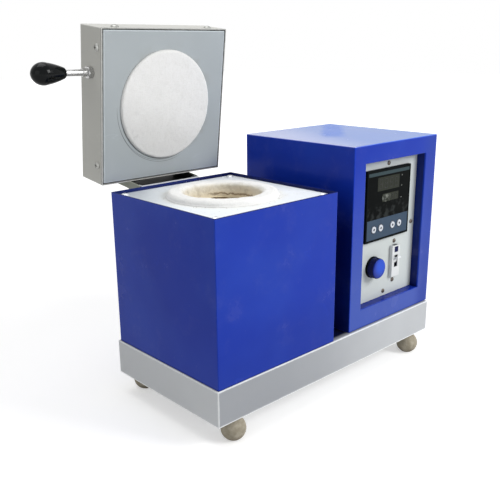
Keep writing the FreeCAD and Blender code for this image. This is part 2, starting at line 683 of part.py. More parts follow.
def insulation_blocks():
    half = (HEARTH_BOTTOM + INSULATION_TOP) / 2
    bore = upright(MUFFLE_RADIUS + SNUG, CHAMBER_X, CHAMBER_Y, HEARTH_BOTTOM - 1, INSULATION_TOP + 1)
    seat = upright(COLLAR_SPIGOT / 2 + SNUG, CHAMBER_X, CHAMBER_Y, MUFFLE_TOP, INSULATION_TOP + 1)
    width = TAIL_CHANNEL_WIDTH / 2
    channel = block(CHAMBER_X, CHAMBER_X + TAIL_RADIUS + 2 * WIRE_RADIUS, CHAMBER_Y - width,
                    CHAMBER_Y + width, HEARTH_BOTTOM - 1, MUFFLE_TOP)
    return Part.makeCompound([cut_all(insulation_slab(z0, z1), [bore, seat, channel])
                              for z0, z1 in ((HEARTH_BOTTOM, half), (half, INSULATION_TOP))])


def insulation_floor():
    return cut_all(insulation_slab(BASE_TOP + SHEET, HEARTH_BOTTOM),
                   wiring_holes(BASE_TOP, HEARTH_BOTTOM + 1))


def hearth_brick():
    # The muffle stands on its rim, and a crucible on its middle.
    brick = upright(MUFFLE_RADIUS, CHAMBER_X, CHAMBER_Y, HEARTH_BOTTOM, MUFFLE_BOTTOM)
    return brick.cut(upright(PROBE_RADIUS + HOLE_SLACK, CHAMBER_X, PROBE_Y, HEARTH_BOTTOM - 1,
                             MUFFLE_BOTTOM - PROBE_TIP_COVER))


def temperature_probe():
    tip = MUFFLE_BOTTOM - PROBE_TIP_COVER - HOLE_SLACK
    collar = TERMINAL_TOP - PROBE_HEAD_HEIGHT / 4
    head = upright(PROBE_HEAD_RADIUS, CHAMBER_X, PROBE_Y, TERMINAL_TOP - PROBE_HEAD_HEIGHT, collar)
    stem = upright(PROBE_RADIUS, CHAMBER_X, PROBE_Y, collar, tip)
    neck = upright(2 * PROBE_RADIUS, CHAMBER_X, PROBE_Y, collar, TERMINAL_TOP)
    return fuse_all([head, stem, neck])


def terminal_block():
    length, width, height = TERMINAL_SIZE
    ends = tail_places()
    middle = (ends[0] + ends[1]) * 0.5
    body = block(middle.x - width / 2, middle.x + width / 2, middle.y - length / 2, middle.y + length / 2,
                 TERMINAL_TOP - height, TERMINAL_TOP)
    holes = [upright(WIRE_RADIUS + SNUG, p.x, p.y, TAIL_END - SNUG, TERMINAL_TOP + 1) for p in ends]
    holes += [rod(TERMINAL_CLAMP_RADIUS, V(middle.x, p.y, TAIL_END), V(middle.x + width, p.y, TAIL_END))
              for p in ends]
    return cut_all(body, holes)


def lid_screw_places():
    # Screw seats on the lid's four walls, as pairs of a place and the way the head looks.
    height = LID_PLATE + LID_SCREW_DEPTH
    half = LID_SCREW_PITCH / 2
    places = []
    for shift in (-half, half):
        places.append((V(LID_LEFT, LID_MIDDLE_Y + shift, height), -X_AXIS))
        places.append((V(LID_RIGHT, LID_MIDDLE_Y + shift, height), X_AXIS))
        places.append((V(LID_MIDDLE_X + shift, LID_FRONT, height), -Y_AXIS))
        places.append((V(LID_MIDDLE_X + shift, LID_REAR, height), Y_AXIS))
    return places


def channel_screw_places():
    inset = SHEET + CHANNEL_FOOT / 2
    return [V(x, LID_REAR + SHEET, LID_PLATE + CHANNEL_LENGTH * share)
            for x in (HINGE_LEFT + inset, HINGE_RIGHT - inset) for share in (0.3, 0.75)]


def handle_point():
    return V(LID_LEFT, LID_REAR - HANDLE_FROM_BACK, LID_PLATE + HANDLE_HEIGHT)


def lid_shell():
    shell = block(LID_LEFT, LID_RIGHT, LID_FRONT, LID_REAR, LID_PLATE, LID_TOP)
    shell = shell.makeFillet(BEND, edges_along(shell, Z_AXIS, lambda p: True)
                             + edges_along(shell, X_AXIS, lambda p: p.z > LID_TOP - 1)
                             + edges_along(shell, Y_AXIS, lambda p: p.z > LID_TOP - 1))
    shell = shell.cut(block(LID_LEFT + SHEET, LID_RIGHT - SHEET, LID_FRONT + SHEET, LID_REAR - SHEET,
                            LID_PLATE - 1, LID_TOP - SHEET))
    holes = [shank_hole(DOME_SCREW, point, way, 4.0) for point, way in lid_screw_places()]
    holes += [shank_hole(PANEL_SCREW, p, Y_AXIS, 4.0) for p in channel_screw_places()]
    holes.append(shank_hole((0, 0, 2 * HANDLE_ROD_RADIUS), handle_point(), X_AXIS, 4.0))
    return cut_all(shell, holes)


def lid_inner_plate():
    edge = SHEET + LID_PLATE_GAP
    low = LID_PLATE - LID_PLATE_PROUD
    tray = block(LID_LEFT + edge, LID_RIGHT - edge, LID_FRONT + edge, LID_REAR - edge, low,
                 LID_PLATE + LID_FLANGE)
    tray = tray.makeFillet(BEND, edges_along(tray, X_AXIS, lambda p: p.z < LID_PLATE)
                           + edges_along(tray, Y_AXIS, lambda p: p.z < LID_PLATE)
                           + edges_along(tray, Z_AXIS, lambda p: True))
    edge += SHEET
    tray = tray.cut(block(LID_LEFT + edge, LID_RIGHT - edge, LID_FRONT + edge, LID_REAR - edge,
                          low + SHEET, LID_PLATE + LID_FLANGE + 1))
    holes = [shank_hole(DOME_SCREW, point, way, 6.0) for point, way in lid_screw_places()]
    holes.append(upright(DISC_SPIGOT / 2 + SNUG, LID_MIDDLE_X, LID_MIDDLE_Y, low - 1, low + SHEET + 1))
    return cut_all(tray, holes)


def lid_screws():
    return Part.makeCompound([screw(DOME_SCREW, SHEET + LID_PLATE_GAP + SHEET, point, way)
                              for point, way in lid_screw_places()])


def lid_disc():
    outer = DISC_DIAMETER / 2
    spigot = DISC_SPIGOT / 2
    low = LID_PLATE - LID_PLATE_PROUD
    face = COLLAR_TOP + DISC_GAP - low
    lean = DISC_ROUND * (1 - math.sqrt(0.5))
    top = SHEET + DISC_SPIGOT_DEPTH
    soft = [((0, face), (outer - DISC_ROUND, face)),
            ((outer - DISC_ROUND, face), (outer - lean, face + lean), (outer, face + DISC_ROUND)),
            ((outer, face + DISC_ROUND), (outer, 0)), ((outer, 0), (spigot, 0)),
            ((spigot, 0), (spigot, top)), ((spigot, top), (0, top)), ((0, top), (0, face))]
    return revolved(soft, V(LID_MIDDLE_X, LID_MIDDLE_Y, low), Z_AXIS)


def lid_insulation():
    edge = 2 * SHEET + LID_PLATE_GAP + SLIP
    low = LID_PLATE - LID_PLATE_PROUD + SHEET
    board = block(LID_LEFT + edge, LID_RIGHT - edge, LID_FRONT + edge, LID_REAR - edge, low,
                  LID_TOP - SHEET - SNUG)
    pocket = upright(DISC_SPIGOT / 2 + SNUG, LID_MIDDLE_X, LID_MIDDLE_Y, low - 1,
                     LID_PLATE - LID_PLATE_PROUD + SHEET + DISC_SPIGOT_DEPTH)
    grip = handle_point()
    room = SHEET + HANDLE_NUT_HEIGHT + 2 * HANDLE_ROD_END
    recess = rod(HANDLE_NUT_FLATS * 0.7, grip, grip + X_AXIS * room)
    return cut_all(board, [pocket, recess])


def handle_rod():
    grip = handle_point()
    inside = SHEET + HANDLE_NUT_HEIGHT + HANDLE_ROD_END
    bar = rod(HANDLE_ROD_RADIUS, grip + X_AXIS * inside, grip - X_AXIS * (KNOB_START + KNOB_BORE_DEPTH))
    start = grip - X_AXIS * (HANDLE_NUT_HEIGHT + SNUG)
    return fuse_all([bar, rod(HANDLE_COLLAR_RADIUS, start, start - X_AXIS * HANDLE_COLLAR_LENGTH)])


def handle_nuts():
    grip = handle_point()
    bore = HANDLE_ROD_RADIUS + PIN_SLACK
    outside = hex_nut(HANDLE_NUT_FLATS, HANDLE_NUT_HEIGHT, bore, grip, -X_AXIS)
    inside = hex_nut(HANDLE_NUT_FLATS, HANDLE_NUT_HEIGHT, bore, grip + X_AXIS * SHEET, X_AXIS)
    return Part.makeCompound([outside, inside])


def handle_knob():
    # A tapered grip: a narrow neck, a straight flare to the widest place and a rounded end.
    nose = KNOB_LENGTH - KNOB_WIDEST
    profile = [((0, 0), (KNOB_NECK_RADIUS - KNOB_ROUND, 0)),
               ((KNOB_NECK_RADIUS - KNOB_ROUND, 0), (KNOB_NECK_RADIUS, KNOB_ROUND)),
               ((KNOB_NECK_RADIUS, KNOB_ROUND), (KNOB_RADIUS * 0.8, KNOB_WIDEST * 0.5),
                (KNOB_RADIUS, KNOB_WIDEST)),
               ((KNOB_RADIUS, KNOB_WIDEST), (KNOB_RADIUS * 0.78, KNOB_WIDEST + nose * 0.72),
                (KNOB_TIP_RADIUS, KNOB_LENGTH)),
               ((KNOB_TIP_RADIUS, KNOB_LENGTH), (0, KNOB_LENGTH)), ((0, KNOB_LENGTH), (0, 0))]
    start = handle_point() - X_AXIS * KNOB_START
    knob = revolved(profile, start, -X_AXIS)
    bore = rod(HANDLE_ROD_RADIUS + PIN_SLACK, start + X_AXIS, start - X_AXIS * (KNOB_BORE_DEPTH + SNUG))
    return knob.cut(bore)


def lid_ear(x0):
    # One ear of the lid's channel: a strip down the lid's wall and a round end at the pin.
    front = LID_REAR
    back = LID_REAR + CHANNEL_DEPTH
    strip = block(x0, x0 + SHEET, front, back, LID_PLATE, LID_PLATE + CHANNEL_LENGTH)
    neck_front = HINGE_Y - EAR_RADIUS
    neck = block(x0, x0 + SHEET, neck_front, back, HINGE_Z, LID_PLATE)
    eye = rod(EAR_RADIUS, V(x0, HINGE_Y, HINGE_Z), V(x0 + SHEET, HINGE_Y, HINGE_Z))
    ear = fuse_all([strip, neck, eye])
    hole = rod(PIN_RADIUS + PIN_SLACK, V(x0 - 1, HINGE_Y, HINGE_Z), V(x0 + SHEET + 1, HINGE_Y, HINGE_Z))
    return ear.cut(hole)


def lid_channel():
    back = LID_REAR + CHANNEL_DEPTH
    top = LID_PLATE + CHANNEL_LENGTH
    web = block(HINGE_LEFT, HINGE_RIGHT, back - SHEET, back, LID_PLATE + CHANNEL_WEB_START, top)
    foot_width = SHEET + CHANNEL_FOOT
    feet = [block(x, x + foot_width, LID_REAR, LID_REAR + SHEET, LID_PLATE + 1, top)
            for x in (HINGE_LEFT, HINGE_RIGHT - foot_width)]
    body = fuse_all([lid_ear(HINGE_LEFT), lid_ear(HINGE_RIGHT - SHEET), web] + feet)
    access = [rod(PANEL_SCREW[0] / 2 + 1, p, p + Y_AXIS * CHANNEL_DEPTH) for p in channel_screw_places()]
    holes = [shank_hole(PANEL_SCREW, p, Y_AXIS, 3.0) for p in channel_screw_places()]
    return cut_all(body, holes + access)


def channel_screws():
    return Part.makeCompound([screw(PANEL_SCREW, 2 * SHEET, p, Y_AXIS) for p in channel_screw_places()])


def fixed_ear(x0):
    # Round about the pin, joined to the bracket's plate, with an arm behind that the open lid rests on.
    x1 = x0 + FIXED_EAR_SHEET
    eye = rod(FIXED_EAR_RADIUS, V(x0, HINGE_Y, HINGE_Z), V(x1, HINGE_Y, HINGE_Z))
    foot_plate = block(x0, x1, CASING_BACK, HINGE_Y, HINGE_Z - FIXED_EAR_RADIUS, HINGE_Z + FIXED_EAR_RADIUS)
    lean = math.radians(90 - LID_OPEN)
    under = LID_REAR + CHANNEL_DEPTH - HINGE_Y
    rise = -under * math.cos(lean) - STOP_GAP / math.cos(lean)
    start = FIXED_EAR_RADIUS * 0.5
    arm_top = [V(x0, HINGE_Y + reach, HINGE_Z + rise + reach * math.tan(lean))
               for reach in (start, STOP_ARM_REACH)]
    arm_low = [V(x0, HINGE_Y + reach, HINGE_Z - drop)
               for reach, drop in ((STOP_ARM_REACH, FIXED_EAR_RADIUS * 0.5), (start, FIXED_EAR_RADIUS))]
    corners = arm_top + arm_low
    arm = Part.Face(Part.makePolygon(corners + corners[:1])).extrude(V(FIXED_EAR_SHEET, 0, 0))
    hole = rod(PIN_RADIUS + PIN_SLACK, V(x0 - 1, HINGE_Y, HINGE_Z), V(x1 + 1, HINGE_Y, HINGE_Z))
    return fuse_all([eye, foot_plate, arm]).cut(hole)


def hinge_bracket():
    plate = block(FIXED_LEFT, FIXED_RIGHT, CASING_BACK, CASING_BACK + FIXED_EAR_SHEET,
                  CASING_RIM - BRACKET_DROP, CASING_RIM + BRACKET_RISE)
    body = fuse_all([plate, fixed_ear(FIXED_LEFT), fixed_ear(FIXED_RIGHT - FIXED_EAR_SHEET)])
    seat = Y_AXIS * FIXED_EAR_SHEET
    return cut_all(body, [shank_hole(PANEL_SCREW, p + seat, Y_AXIS, 3.0) for p in bracket_screw_places()])


def hinge_bracket_screws():
    seat = Y_AXIS * FIXED_EAR_SHEET
    length = FIXED_EAR_SHEET + SHEET + SCREW_END
    return Part.makeCompound([screw(PANEL_SCREW, length, p + seat, Y_AXIS) for p in bracket_screw_places()])


def hinge_pin():
    left = V(HINGE_LEFT - PIN_SLACK * 2, HINGE_Y, HINGE_Z)
    right = V(HINGE_RIGHT + CLIP_THICKNESS + PIN_END, HINGE_Y, HINGE_Z)
    shaft = rod(PIN_RADIUS, left, right)
    tip = PIN_HEAD_RADIUS * 0.2
    dome = revolved([((0, 0), (PIN_HEAD_RADIUS, 0)),
                     ((PIN_HEAD_RADIUS, 0), (PIN_HEAD_RADIUS * 0.72, PIN_HEAD * 0.75), (tip, PIN_HEAD)),
                     ((tip, PIN_HEAD), (0, PIN_HEAD)), ((0, PIN_HEAD), (0, 0))], left, -X_AXIS)
    clip_x = HINGE_RIGHT + PIN_SLACK * 2
    groove = rod(PIN_RADIUS + 1, V(clip_x, HINGE_Y, HINGE_Z),
                 V(clip_x + CLIP_THICKNESS + PIN_SLACK, HINGE_Y, HINGE_Z))
    groove = groove.cut(rod(PIN_GROOVE_RADIUS, V(clip_x - 1, HINGE_Y, HINGE_Z),
                            V(clip_x + CLIP_THICKNESS + 1, HINGE_Y, HINGE_Z)))
    return shaft.fuse(dome).cut(groove)


def hinge_pin_clip():
    clip_x = HINGE_RIGHT + PIN_SLACK * 2
    ring = rod(CLIP_RADIUS, V(clip_x, HINGE_Y, HINGE_Z), V(clip_x + CLIP_THICKNESS, HINGE_Y, HINGE_Z))
    inner = PIN_GROOVE_RADIUS + PIN_SLACK
    ring = ring.cut(rod(inner, V(clip_x - 1, HINGE_Y, HINGE_Z),
                        V(clip_x + CLIP_THICKNESS + 1, HINGE_Y, HINGE_Z)))
    mouth = inner * 0.9
    return ring.cut(block(clip_x - 1, clip_x + CLIP_THICKNESS + 1, HINGE_Y - mouth, HINGE_Y + mouth,
                          HINGE_Z - CLIP_RADIUS - 1, HINGE_Z))


def hinge_sleeve():
    x0 = FIXED_LEFT + FIXED_EAR_SHEET + SNUG
    x1 = FIXED_RIGHT - FIXED_EAR_SHEET - SNUG
    tube = rod(SLEEVE_RADIUS, V(x0, HINGE_Y, HINGE_Z), V(x1, HINGE_Y, HINGE_Z))
    return tube.cut(rod(PIN_RADIUS + PIN_SLACK, V(x0 - 1, HINGE_Y, HINGE_Z), V(x1 + 1, HINGE_Y, HINGE_Z)))


def panel_screw_places():
    middle_x = (OPENING_X0 + OPENING_X1) / 2
    middle_z = (OPENING_Z0 + OPENING_Z1) / 2
    return [V(OPENING_X0 + PANEL_SCREW_INSET, PANEL_FRONT, middle_z),
            V(OPENING_X1 - PANEL_SCREW_INSET, PANEL_FRONT, middle_z),
            V(middle_x, PANEL_FRONT, OPENING_Z0 + PANEL_SCREW_INSET),
            V(middle_x, PANEL_FRONT, OPENING_Z1 - PANEL_SCREW_INSET)]


def rear_screw_places():
    return [V(x, BOX_BACK, z) for x in (BOX_LEFT + REAR_SCREW_INSET, BOX_RIGHT - REAR_SCREW_INSET)
            for z in (BASE_TOP + REAR_SCREW_INSET, BOX_TOP - REAR_SCREW_INSET)]


def relay_screw_places():
    corner = relay_corner()
    middle = corner + Y_AXIS * RELAY_SIZE[1] / 2
    return [middle + X_AXIS * x for x in (RELAY_SCREW_INSET, RELAY_SIZE[0] - RELAY_SCREW_INSET)]


def relay_corner():
    return V(BOX_LEFT + (BOX_WIDTH - RELAY_SIZE[0]) / 2, BOX_BACK - RELAY_FROM_BACK, BASE_TOP + SHEET)


def at_opening(point):
    # Whether the middle of an edge lies on the front opening's rim.
    return (abs(point.y - BOX_FRONT) < 1e-3 and OPENING_X0 - 1 < point.x < OPENING_X1 + 1
            and OPENING_Z0 - 1 < point.z < OPENING_Z1 + 1)


def control_box_shell():
    shell = block(BOX_LEFT, BOX_RIGHT, BOX_FRONT, BOX_BACK, BASE_TOP, BOX_TOP)
    shell = shell.makeFillet(BEND, edges_along(shell, Z_AXIS, lambda p: p.y < BOX_BACK - 1)
                             + edges_along(shell, X_AXIS, lambda p: p.y < BOX_BACK - 1)
                             + edges_along(shell, Y_AXIS, lambda p: True))
    x0, x1 = BOX_LEFT + SHEET, BOX_RIGHT - SHEET
    z0, z1 = BASE_TOP + SHEET, BOX_TOP - SHEET
    seat = BOX_BACK - SHEET
    shell = shell.cut(block(x0, x1, BOX_FRONT + SHEET, seat - SHEET, z0, z1))
    shell = shell.cut(block(x0, x1, seat, BOX_BACK + 1, z0, z1))
    shell = shell.cut(block(x0 + REAR_FLANGE, x1 - REAR_FLANGE, seat - SHEET - 1, seat + 1,
                            z0 + REAR_FLANGE, z1 - REAR_FLANGE))
    # The folded lip runs back from the opening and turns in behind the panel.
    shell = shell.cut(block(OPENING_X0, OPENING_X1, BOX_FRONT - 1, BOX_FRONT + SHEET + 1, OPENING_Z0,
                            OPENING_Z1))
    lip = block(OPENING_X0 - SHEET, OPENING_X1 + SHEET, BOX_FRONT, PANEL_BACK + SHEET,
                OPENING_Z0 - SHEET, OPENING_Z1 + SHEET)
    lip = lip.cut(block(OPENING_X0, OPENING_X1, BOX_FRONT - 1, PANEL_BACK, OPENING_Z0, OPENING_Z1))
    lip = lip.cut(block(OPENING_X0 + PANEL_FLANGE, OPENING_X1 - PANEL_FLANGE, PANEL_BACK - 1,
                        PANEL_BACK + SHEET + 1, OPENING_Z0 + PANEL_FLANGE, OPENING_Z1 - PANEL_FLANGE))
    shell = fuse_all([shell, lip])
    rim = [edge for way in (X_AXIS, Z_AXIS) for edge in edges_along(shell, way, at_opening)]
    shell = shell.makeFillet(BEND, rim)
    holes = [shank_hole(PANEL_SCREW, p, Y_AXIS) for p in panel_screw_places()]
    holes += [shank_hole(SMALL_SCREW, p, Y_AXIS) for p in rear_screw_places()]
    holes += [shank_hole(HOUSING_SCREW, p, Z_AXIS) for p in housing_screw_places()[4:]]
    holes += [shank_hole(SMALL_SCREW, p, Z_AXIS, 3.0) for p in relay_screw_places()]
    holes.append(box_wiring_hole())
    return cut_all(shell, holes)


def controller_cutouts():
    half = CONTROLLER_CUTOUT / 2
    x = BOX_LEFT + CONTROLLER_X
    z = BASE_TOP + CONTROLLER_Z
    return block(x - half, x + half, PANEL_FRONT - 1, PANEL_BACK + 1, z - half, z + half)


def control_panel():
    gap = PANEL_EDGE_GAP
    panel = block(OPENING_X0 + gap, OPENING_X1 - gap, PANEL_FRONT, PANEL_BACK, OPENING_Z0 + gap,
                  OPENING_Z1 - gap)
    lamp = lamp_point()
    half_w = BREAKER_WIDTH / 2 + SNUG
    half_h = BREAKER_NOSE / 2 + SNUG
    holes = [controller_cutouts(),
             rod(LAMP_THREAD_RADIUS + SNUG, lamp - Y_AXIS, lamp + Y_AXIS * (SHEET + 1)),
             block(BREAKER_MIDDLE_X - half_w, BREAKER_MIDDLE_X + half_w, PANEL_FRONT - 1, PANEL_BACK + 1,
                   BREAKER_MIDDLE_Z - half_h, BREAKER_MIDDLE_Z + half_h)]
    holes += [shank_hole(PANEL_SCREW, p, Y_AXIS) for p in panel_screw_places() + breaker_screw_places()]
    return cut_all(panel, holes)


def panel_screws():
    # Four hold the panel to the box, two hold the breaker's bracket behind it.
    length = 2 * SHEET + SCREW_END
    return Part.makeCompound([screw(PANEL_SCREW, length, p, -Y_AXIS)
                              for p in panel_screw_places() + breaker_screw_places()])


def gland_point():
    return V(BOX_RIGHT - GLAND_FROM_RIGHT, BOX_BACK, BASE_TOP + GLAND_Z)


def rear_cover():
    edge = SHEET + SLIP
    cover = block(BOX_LEFT + edge, BOX_RIGHT - edge, BOX_BACK - SHEET, BOX_BACK, BASE_TOP + edge,
                  BOX_TOP - edge)
    holes = [shank_hole(SMALL_SCREW, p, Y_AXIS) for p in rear_screw_places()]
    holes.append(rod(GLAND_THREAD_RADIUS + SNUG, gland_point() - Y_AXIS * 5, gland_point() + Y_AXIS))
    middle = (BOX_LEFT + BOX_RIGHT) / 2
    for row in range(VENT_ROWS):
        z = BOX_TOP - VENT_TOP - row * VENT_PITCH
        for side in (-1, 1):
            x = middle + side * VENT_SPREAD / 2
            slot = block(x - VENT_LENGTH / 2, x + VENT_LENGTH / 2, BOX_BACK - SHEET - 1, BOX_BACK + 1,
                         z - VENT_HEIGHT / 2, z + VENT_HEIGHT / 2)
            holes.append(slot.makeFillet(VENT_HEIGHT / 2 - 0.1, edges_along(slot, Y_AXIS, lambda p: True)))
    return cut_all(cover, holes)


def rear_cover_screws():
    length = 2 * SHEET + SCREW_END
    return Part.makeCompound([screw(SMALL_SCREW, length, p, Y_AXIS) for p in rear_screw_places()])


def cable_gland():
    point = gland_point()
    body = placed(hex_prism(GLAND_FLATS, GLAND_HEX), point, Y_AXIS)
    cap_start = point + Y_AXIS * GLAND_HEX
    ridge = GLAND_CAP * 0.7
    cap = revolved([((0, 0), (GLAND_CAP_RADIUS, 0)), ((GLAND_CAP_RADIUS, 0), (GLAND_CAP_RADIUS, ridge)),
                    ((GLAND_CAP_RADIUS, ridge), (GLAND_CAP_RADIUS * 0.9, GLAND_CAP * 0.92),
                     (GLAND_BORE_RADIUS + 1, GLAND_CAP)),
                    ((GLAND_BORE_RADIUS + 1, GLAND_CAP), (0, GLAND_CAP)), ((0, GLAND_CAP), (0, 0))],
                   cap_start, Y_AXIS)
    thread = rod(GLAND_THREAD_RADIUS, point - Y_AXIS * GLAND_THREAD, point)
    bore = rod(GLAND_BORE_RADIUS, point - Y_AXIS * (GLAND_THREAD + 1), cap_start + Y_AXIS * (GLAND_CAP + 1))
    return fuse_all([body, cap, thread]).cut(bore)


def gland_nut():
    point = gland_point() - Y_AXIS * SHEET
    return hex_nut(GLAND_FLATS, GLAND_NUT, GLAND_THREAD_RADIUS + PIN_SLACK, point, -Y_AXIS)


def key_places():
    middle = BOX_LEFT + CONTROLLER_X + KEY_SHIFT
    return [V(middle + pair * KEY_PAIRS_APART / 2 + key * KEY_PITCH / 2, BEZEL_FRONT, KEYPAD_Z0 + KEY_HEIGHT)
            for pair in (-1, 1) for key in (-1, 1)]


def controller_bezel():
    bezel = block(BEZEL_X0, BEZEL_X1, BEZEL_FRONT, PANEL_FRONT, BEZEL_Z0, BEZEL_Z1)
    bezel = bezel.makeFillet(BEND, edges_along(bezel, Y_AXIS, lambda p: True)
                             + edges_along(bezel, X_AXIS, lambda p: p.y < BEZEL_FRONT + 0.1)
                             + edges_along(bezel, Z_AXIS, lambda p: p.y < BEZEL_FRONT + 0.1))
    b = BEZEL_BORDER
    pocket = block(BEZEL_X0 + b, BEZEL_X1 - b, BEZEL_FRONT - 1, POCKET_FLOOR, BEZEL_Z0 + b, BEZEL_Z1 - b)
    wells = [rod(KEY_COLLAR_RADIUS + KEY_GAP, p, p + Y_AXIS * (BEZEL_THICKNESS + 1)) for p in key_places()]
    return cut_all(bezel, [pocket] + wells)


def controller_window():
    b = BEZEL_BORDER + SNUG
    return block(BEZEL_X0 + b, BEZEL_X1 - b, FACE_FRONT, POCKET_FLOOR, KEYPAD_Z1 + SNUG, BEZEL_Z1 - b)


def controller_keypad():
    b = BEZEL_BORDER + SNUG
    pad = block(BEZEL_X0 + b, BEZEL_X1 - b, FACE_FRONT, POCKET_FLOOR, KEYPAD_Z0 + SNUG, KEYPAD_Z1)
    return cut_all(pad, [rod(KEY_RADIUS + KEY_GAP, p - Y_AXIS, p + Y_AXIS * BEZEL_THICKNESS)
                         for p in key_places()])


def controller_key(place):
    back = POCKET_FLOOR + PIN_SLACK
    front = FACE_FRONT - KEY_PROUD
    cap = rod(KEY_RADIUS, V(place.x, front, place.z), V(place.x, back + KEY_COLLAR, place.z))
    rim = [edge for edge in cap.Edges if abs(edge.CenterOfMass.y - front) < 1e-3]
    cap = cap.makeFillet(KEY_ROUND, rim)
    collar = rod(KEY_COLLAR_RADIUS, V(place.x, back, place.z), V(place.x, back + KEY_COLLAR, place.z))
    return fuse_all([cap, collar])


def controller_case():
    half = CONTROLLER_CUTOUT / 2 - SNUG
    x = BOX_LEFT + CONTROLLER_X
    z = BASE_TOP + CONTROLLER_Z
    case = block(x - half, x + half, PANEL_FRONT, PANEL_FRONT + CONTROLLER_DEPTH, z - half, z + half)
    w = CASE_WALL
    return case.cut(block(x - half + w, x + half - w, PANEL_FRONT - 1, PANEL_FRONT + CONTROLLER_DEPTH - w,
                          z - half + w, z + half - w))


def controller_board():
    # The circuit board behind the keys, on two rails that reach back to the case's rear wall.
    half = CONTROLLER_CUTOUT / 2 - SNUG - CASE_WALL - SNUG
    x = BOX_LEFT + CONTROLLER_X
    z = BASE_TOP + CONTROLLER_Z
    front = POCKET_FLOOR + PIN_SLACK + KEY_COLLAR + KEY_TRAVEL + SWITCH_GAP + SWITCH_HEIGHT
    board = block(x - half, x + half, front, front + BOARD_THICKNESS, z - half, z + half)
    back = PANEL_FRONT + CONTROLLER_DEPTH - CASE_WALL
    rails = [block(x - half, x + half, front, back, rail_z - RAIL_THICKNESS / 2, rail_z + RAIL_THICKNESS / 2)
             for rail_z in (z - half / 2, z + half / 2)]
    switches = [rod(SWITCH_RADIUS, V(p.x, front - SWITCH_HEIGHT, p.z), V(p.x, front, p.z))
                for p in key_places()]
    return fuse_all([board] + rails + switches)


def lamp_point():
    return V(BOX_LEFT + LAMP_X, PANEL_FRONT, BEZEL_Z0 - LAMP_DROP)


def pilot_lamp_body():
    point = lamp_point()
    ring = turned([(0, 0), (LAMP_BEZEL_RADIUS, 0), (LAMP_BEZEL_RADIUS, LAMP_BEZEL - 0.8),
                   (LAMP_BEZEL_RADIUS - 0.8, LAMP_BEZEL), (0, LAMP_BEZEL)], point, -Y_AXIS)
    barrel = rod(LAMP_THREAD_RADIUS, point, point + Y_AXIS * LAMP_BODY_LENGTH)
    well = rod(LAMP_THREAD_RADIUS - LAMP_WALL, point - Y_AXIS * (LAMP_BEZEL + 1), point + Y_AXIS * LAMP_WELL)
    return fuse_all([ring, barrel]).cut(well)


def pilot_lamp_lens():
    # A cap that stands in front of the bezel with a hollow stem pushed into the lamp's body.
    seat = LAMP_BEZEL
    top = LAMP_LENS_PROUD
    edge = LAMP_LENS_RADIUS - LAMP_LENS_TAPER
    shoulder = edge - LAMP_LENS_ROUND
    lean = LAMP_LENS_ROUND * (1 - math.sqrt(0.5))
    outer = revolved([((0, seat), (LAMP_LENS_RADIUS, seat)),
                      ((LAMP_LENS_RADIUS, seat), (edge, top - LAMP_LENS_ROUND)),
                      ((edge, top - LAMP_LENS_ROUND), (edge - lean, top - lean), (shoulder, top)),
                      ((shoulder, top), (0, top)), ((0, top), (0, seat))], lamp_point(), -Y_AXIS)
    stem_radius = LAMP_THREAD_RADIUS - LAMP_WALL - SNUG
    stem = rod(stem_radius, lamp_point() - Y_AXIS * seat, lamp_point() + Y_AXIS * LAMP_STEM)
    hollow = rod(stem_radius - LENS_WALL, lamp_point() - Y_AXIS * (top - LENS_WALL),
                 lamp_point() + Y_AXIS * (LAMP_STEM + 1))
    return fuse_all([outer, stem]).cut(hollow)


def pilot_lamp_nut():
    start = lamp_point() + Y_AXIS * SHEET
    nut = rod(LAMP_NUT_RADIUS, start, start + Y_AXIS * LAMP_NUT)
    bore = rod(LAMP_THREAD_RADIUS + PIN_SLACK, start - Y_AXIS, start + Y_AXIS * (LAMP_NUT + 1))
    notches = []
    for k in range(LAMP_NUT_NOTCHES):
        angle = 2 * math.pi * k / LAMP_NUT_NOTCHES
        notch = rod(LAMP_NOTCH_RADIUS, start - Y_AXIS, start + Y_AXIS * (LAMP_NUT + 1))
        notch.translate(V(LAMP_NUT_RADIUS * math.cos(angle), 0, LAMP_NUT_RADIUS * math.sin(angle)))
        notches.append(notch)
    return cut_all(nut, [bore] + notches)


def breaker_screw_places():
    half = BREAKER_SCREW_PITCH / 2
    return [V(BREAKER_MIDDLE_X, PANEL_FRONT, BREAKER_MIDDLE_Z + side * half) for side in (-1, 1)]


def breaker_body():
    half_w = BREAKER_WIDTH / 2
    nose = block(BREAKER_MIDDLE_X - half_w, BREAKER_MIDDLE_X + half_w, NOSE_FRONT, SHOULDER + 1,
                 BREAKER_MIDDLE_Z - BREAKER_NOSE / 2, BREAKER_MIDDLE_Z + BREAKER_NOSE / 2)
    nose = nose.makeFillet(NOSE_ROUND, edges_along(nose, X_AXIS, lambda p: p.y < NOSE_FRONT + 0.1)
                           + edges_along(nose, Z_AXIS, lambda p: p.y < NOSE_FRONT + 0.1))
    body = block(BREAKER_MIDDLE_X - half_w, BREAKER_MIDDLE_X + half_w, SHOULDER, NOSE_FRONT + BREAKER_DEPTH,
                 BREAKER_MIDDLE_Z - BREAKER_BODY / 2, BREAKER_MIDDLE_Z + BREAKER_BODY / 2)
    slot_w = TOGGLE_SLOT_WIDTH / 2
    slot_h = TOGGLE_SLOT_HEIGHT / 2
    slot = block(BREAKER_MIDDLE_X - slot_w, BREAKER_MIDDLE_X + slot_w, NOSE_FRONT - 1,
                 NOSE_FRONT + TOGGLE_SLOT_DEPTH, BREAKER_MIDDLE_Z - slot_h, BREAKER_MIDDLE_Z + slot_h)
    return fuse_all([nose, body]).cut(slot).cut(toggle_axle(PIN_SLACK))


def toggle_axle(slack):
    reach = TOGGLE_SLOT_WIDTH / 2 + AXLE_END + slack
    centre = V(BREAKER_MIDDLE_X, TOGGLE_Y, BREAKER_MIDDLE_Z)
    return rod(AXLE_RADIUS + slack, centre - X_AXIS * reach, centre + X_AXIS * reach)


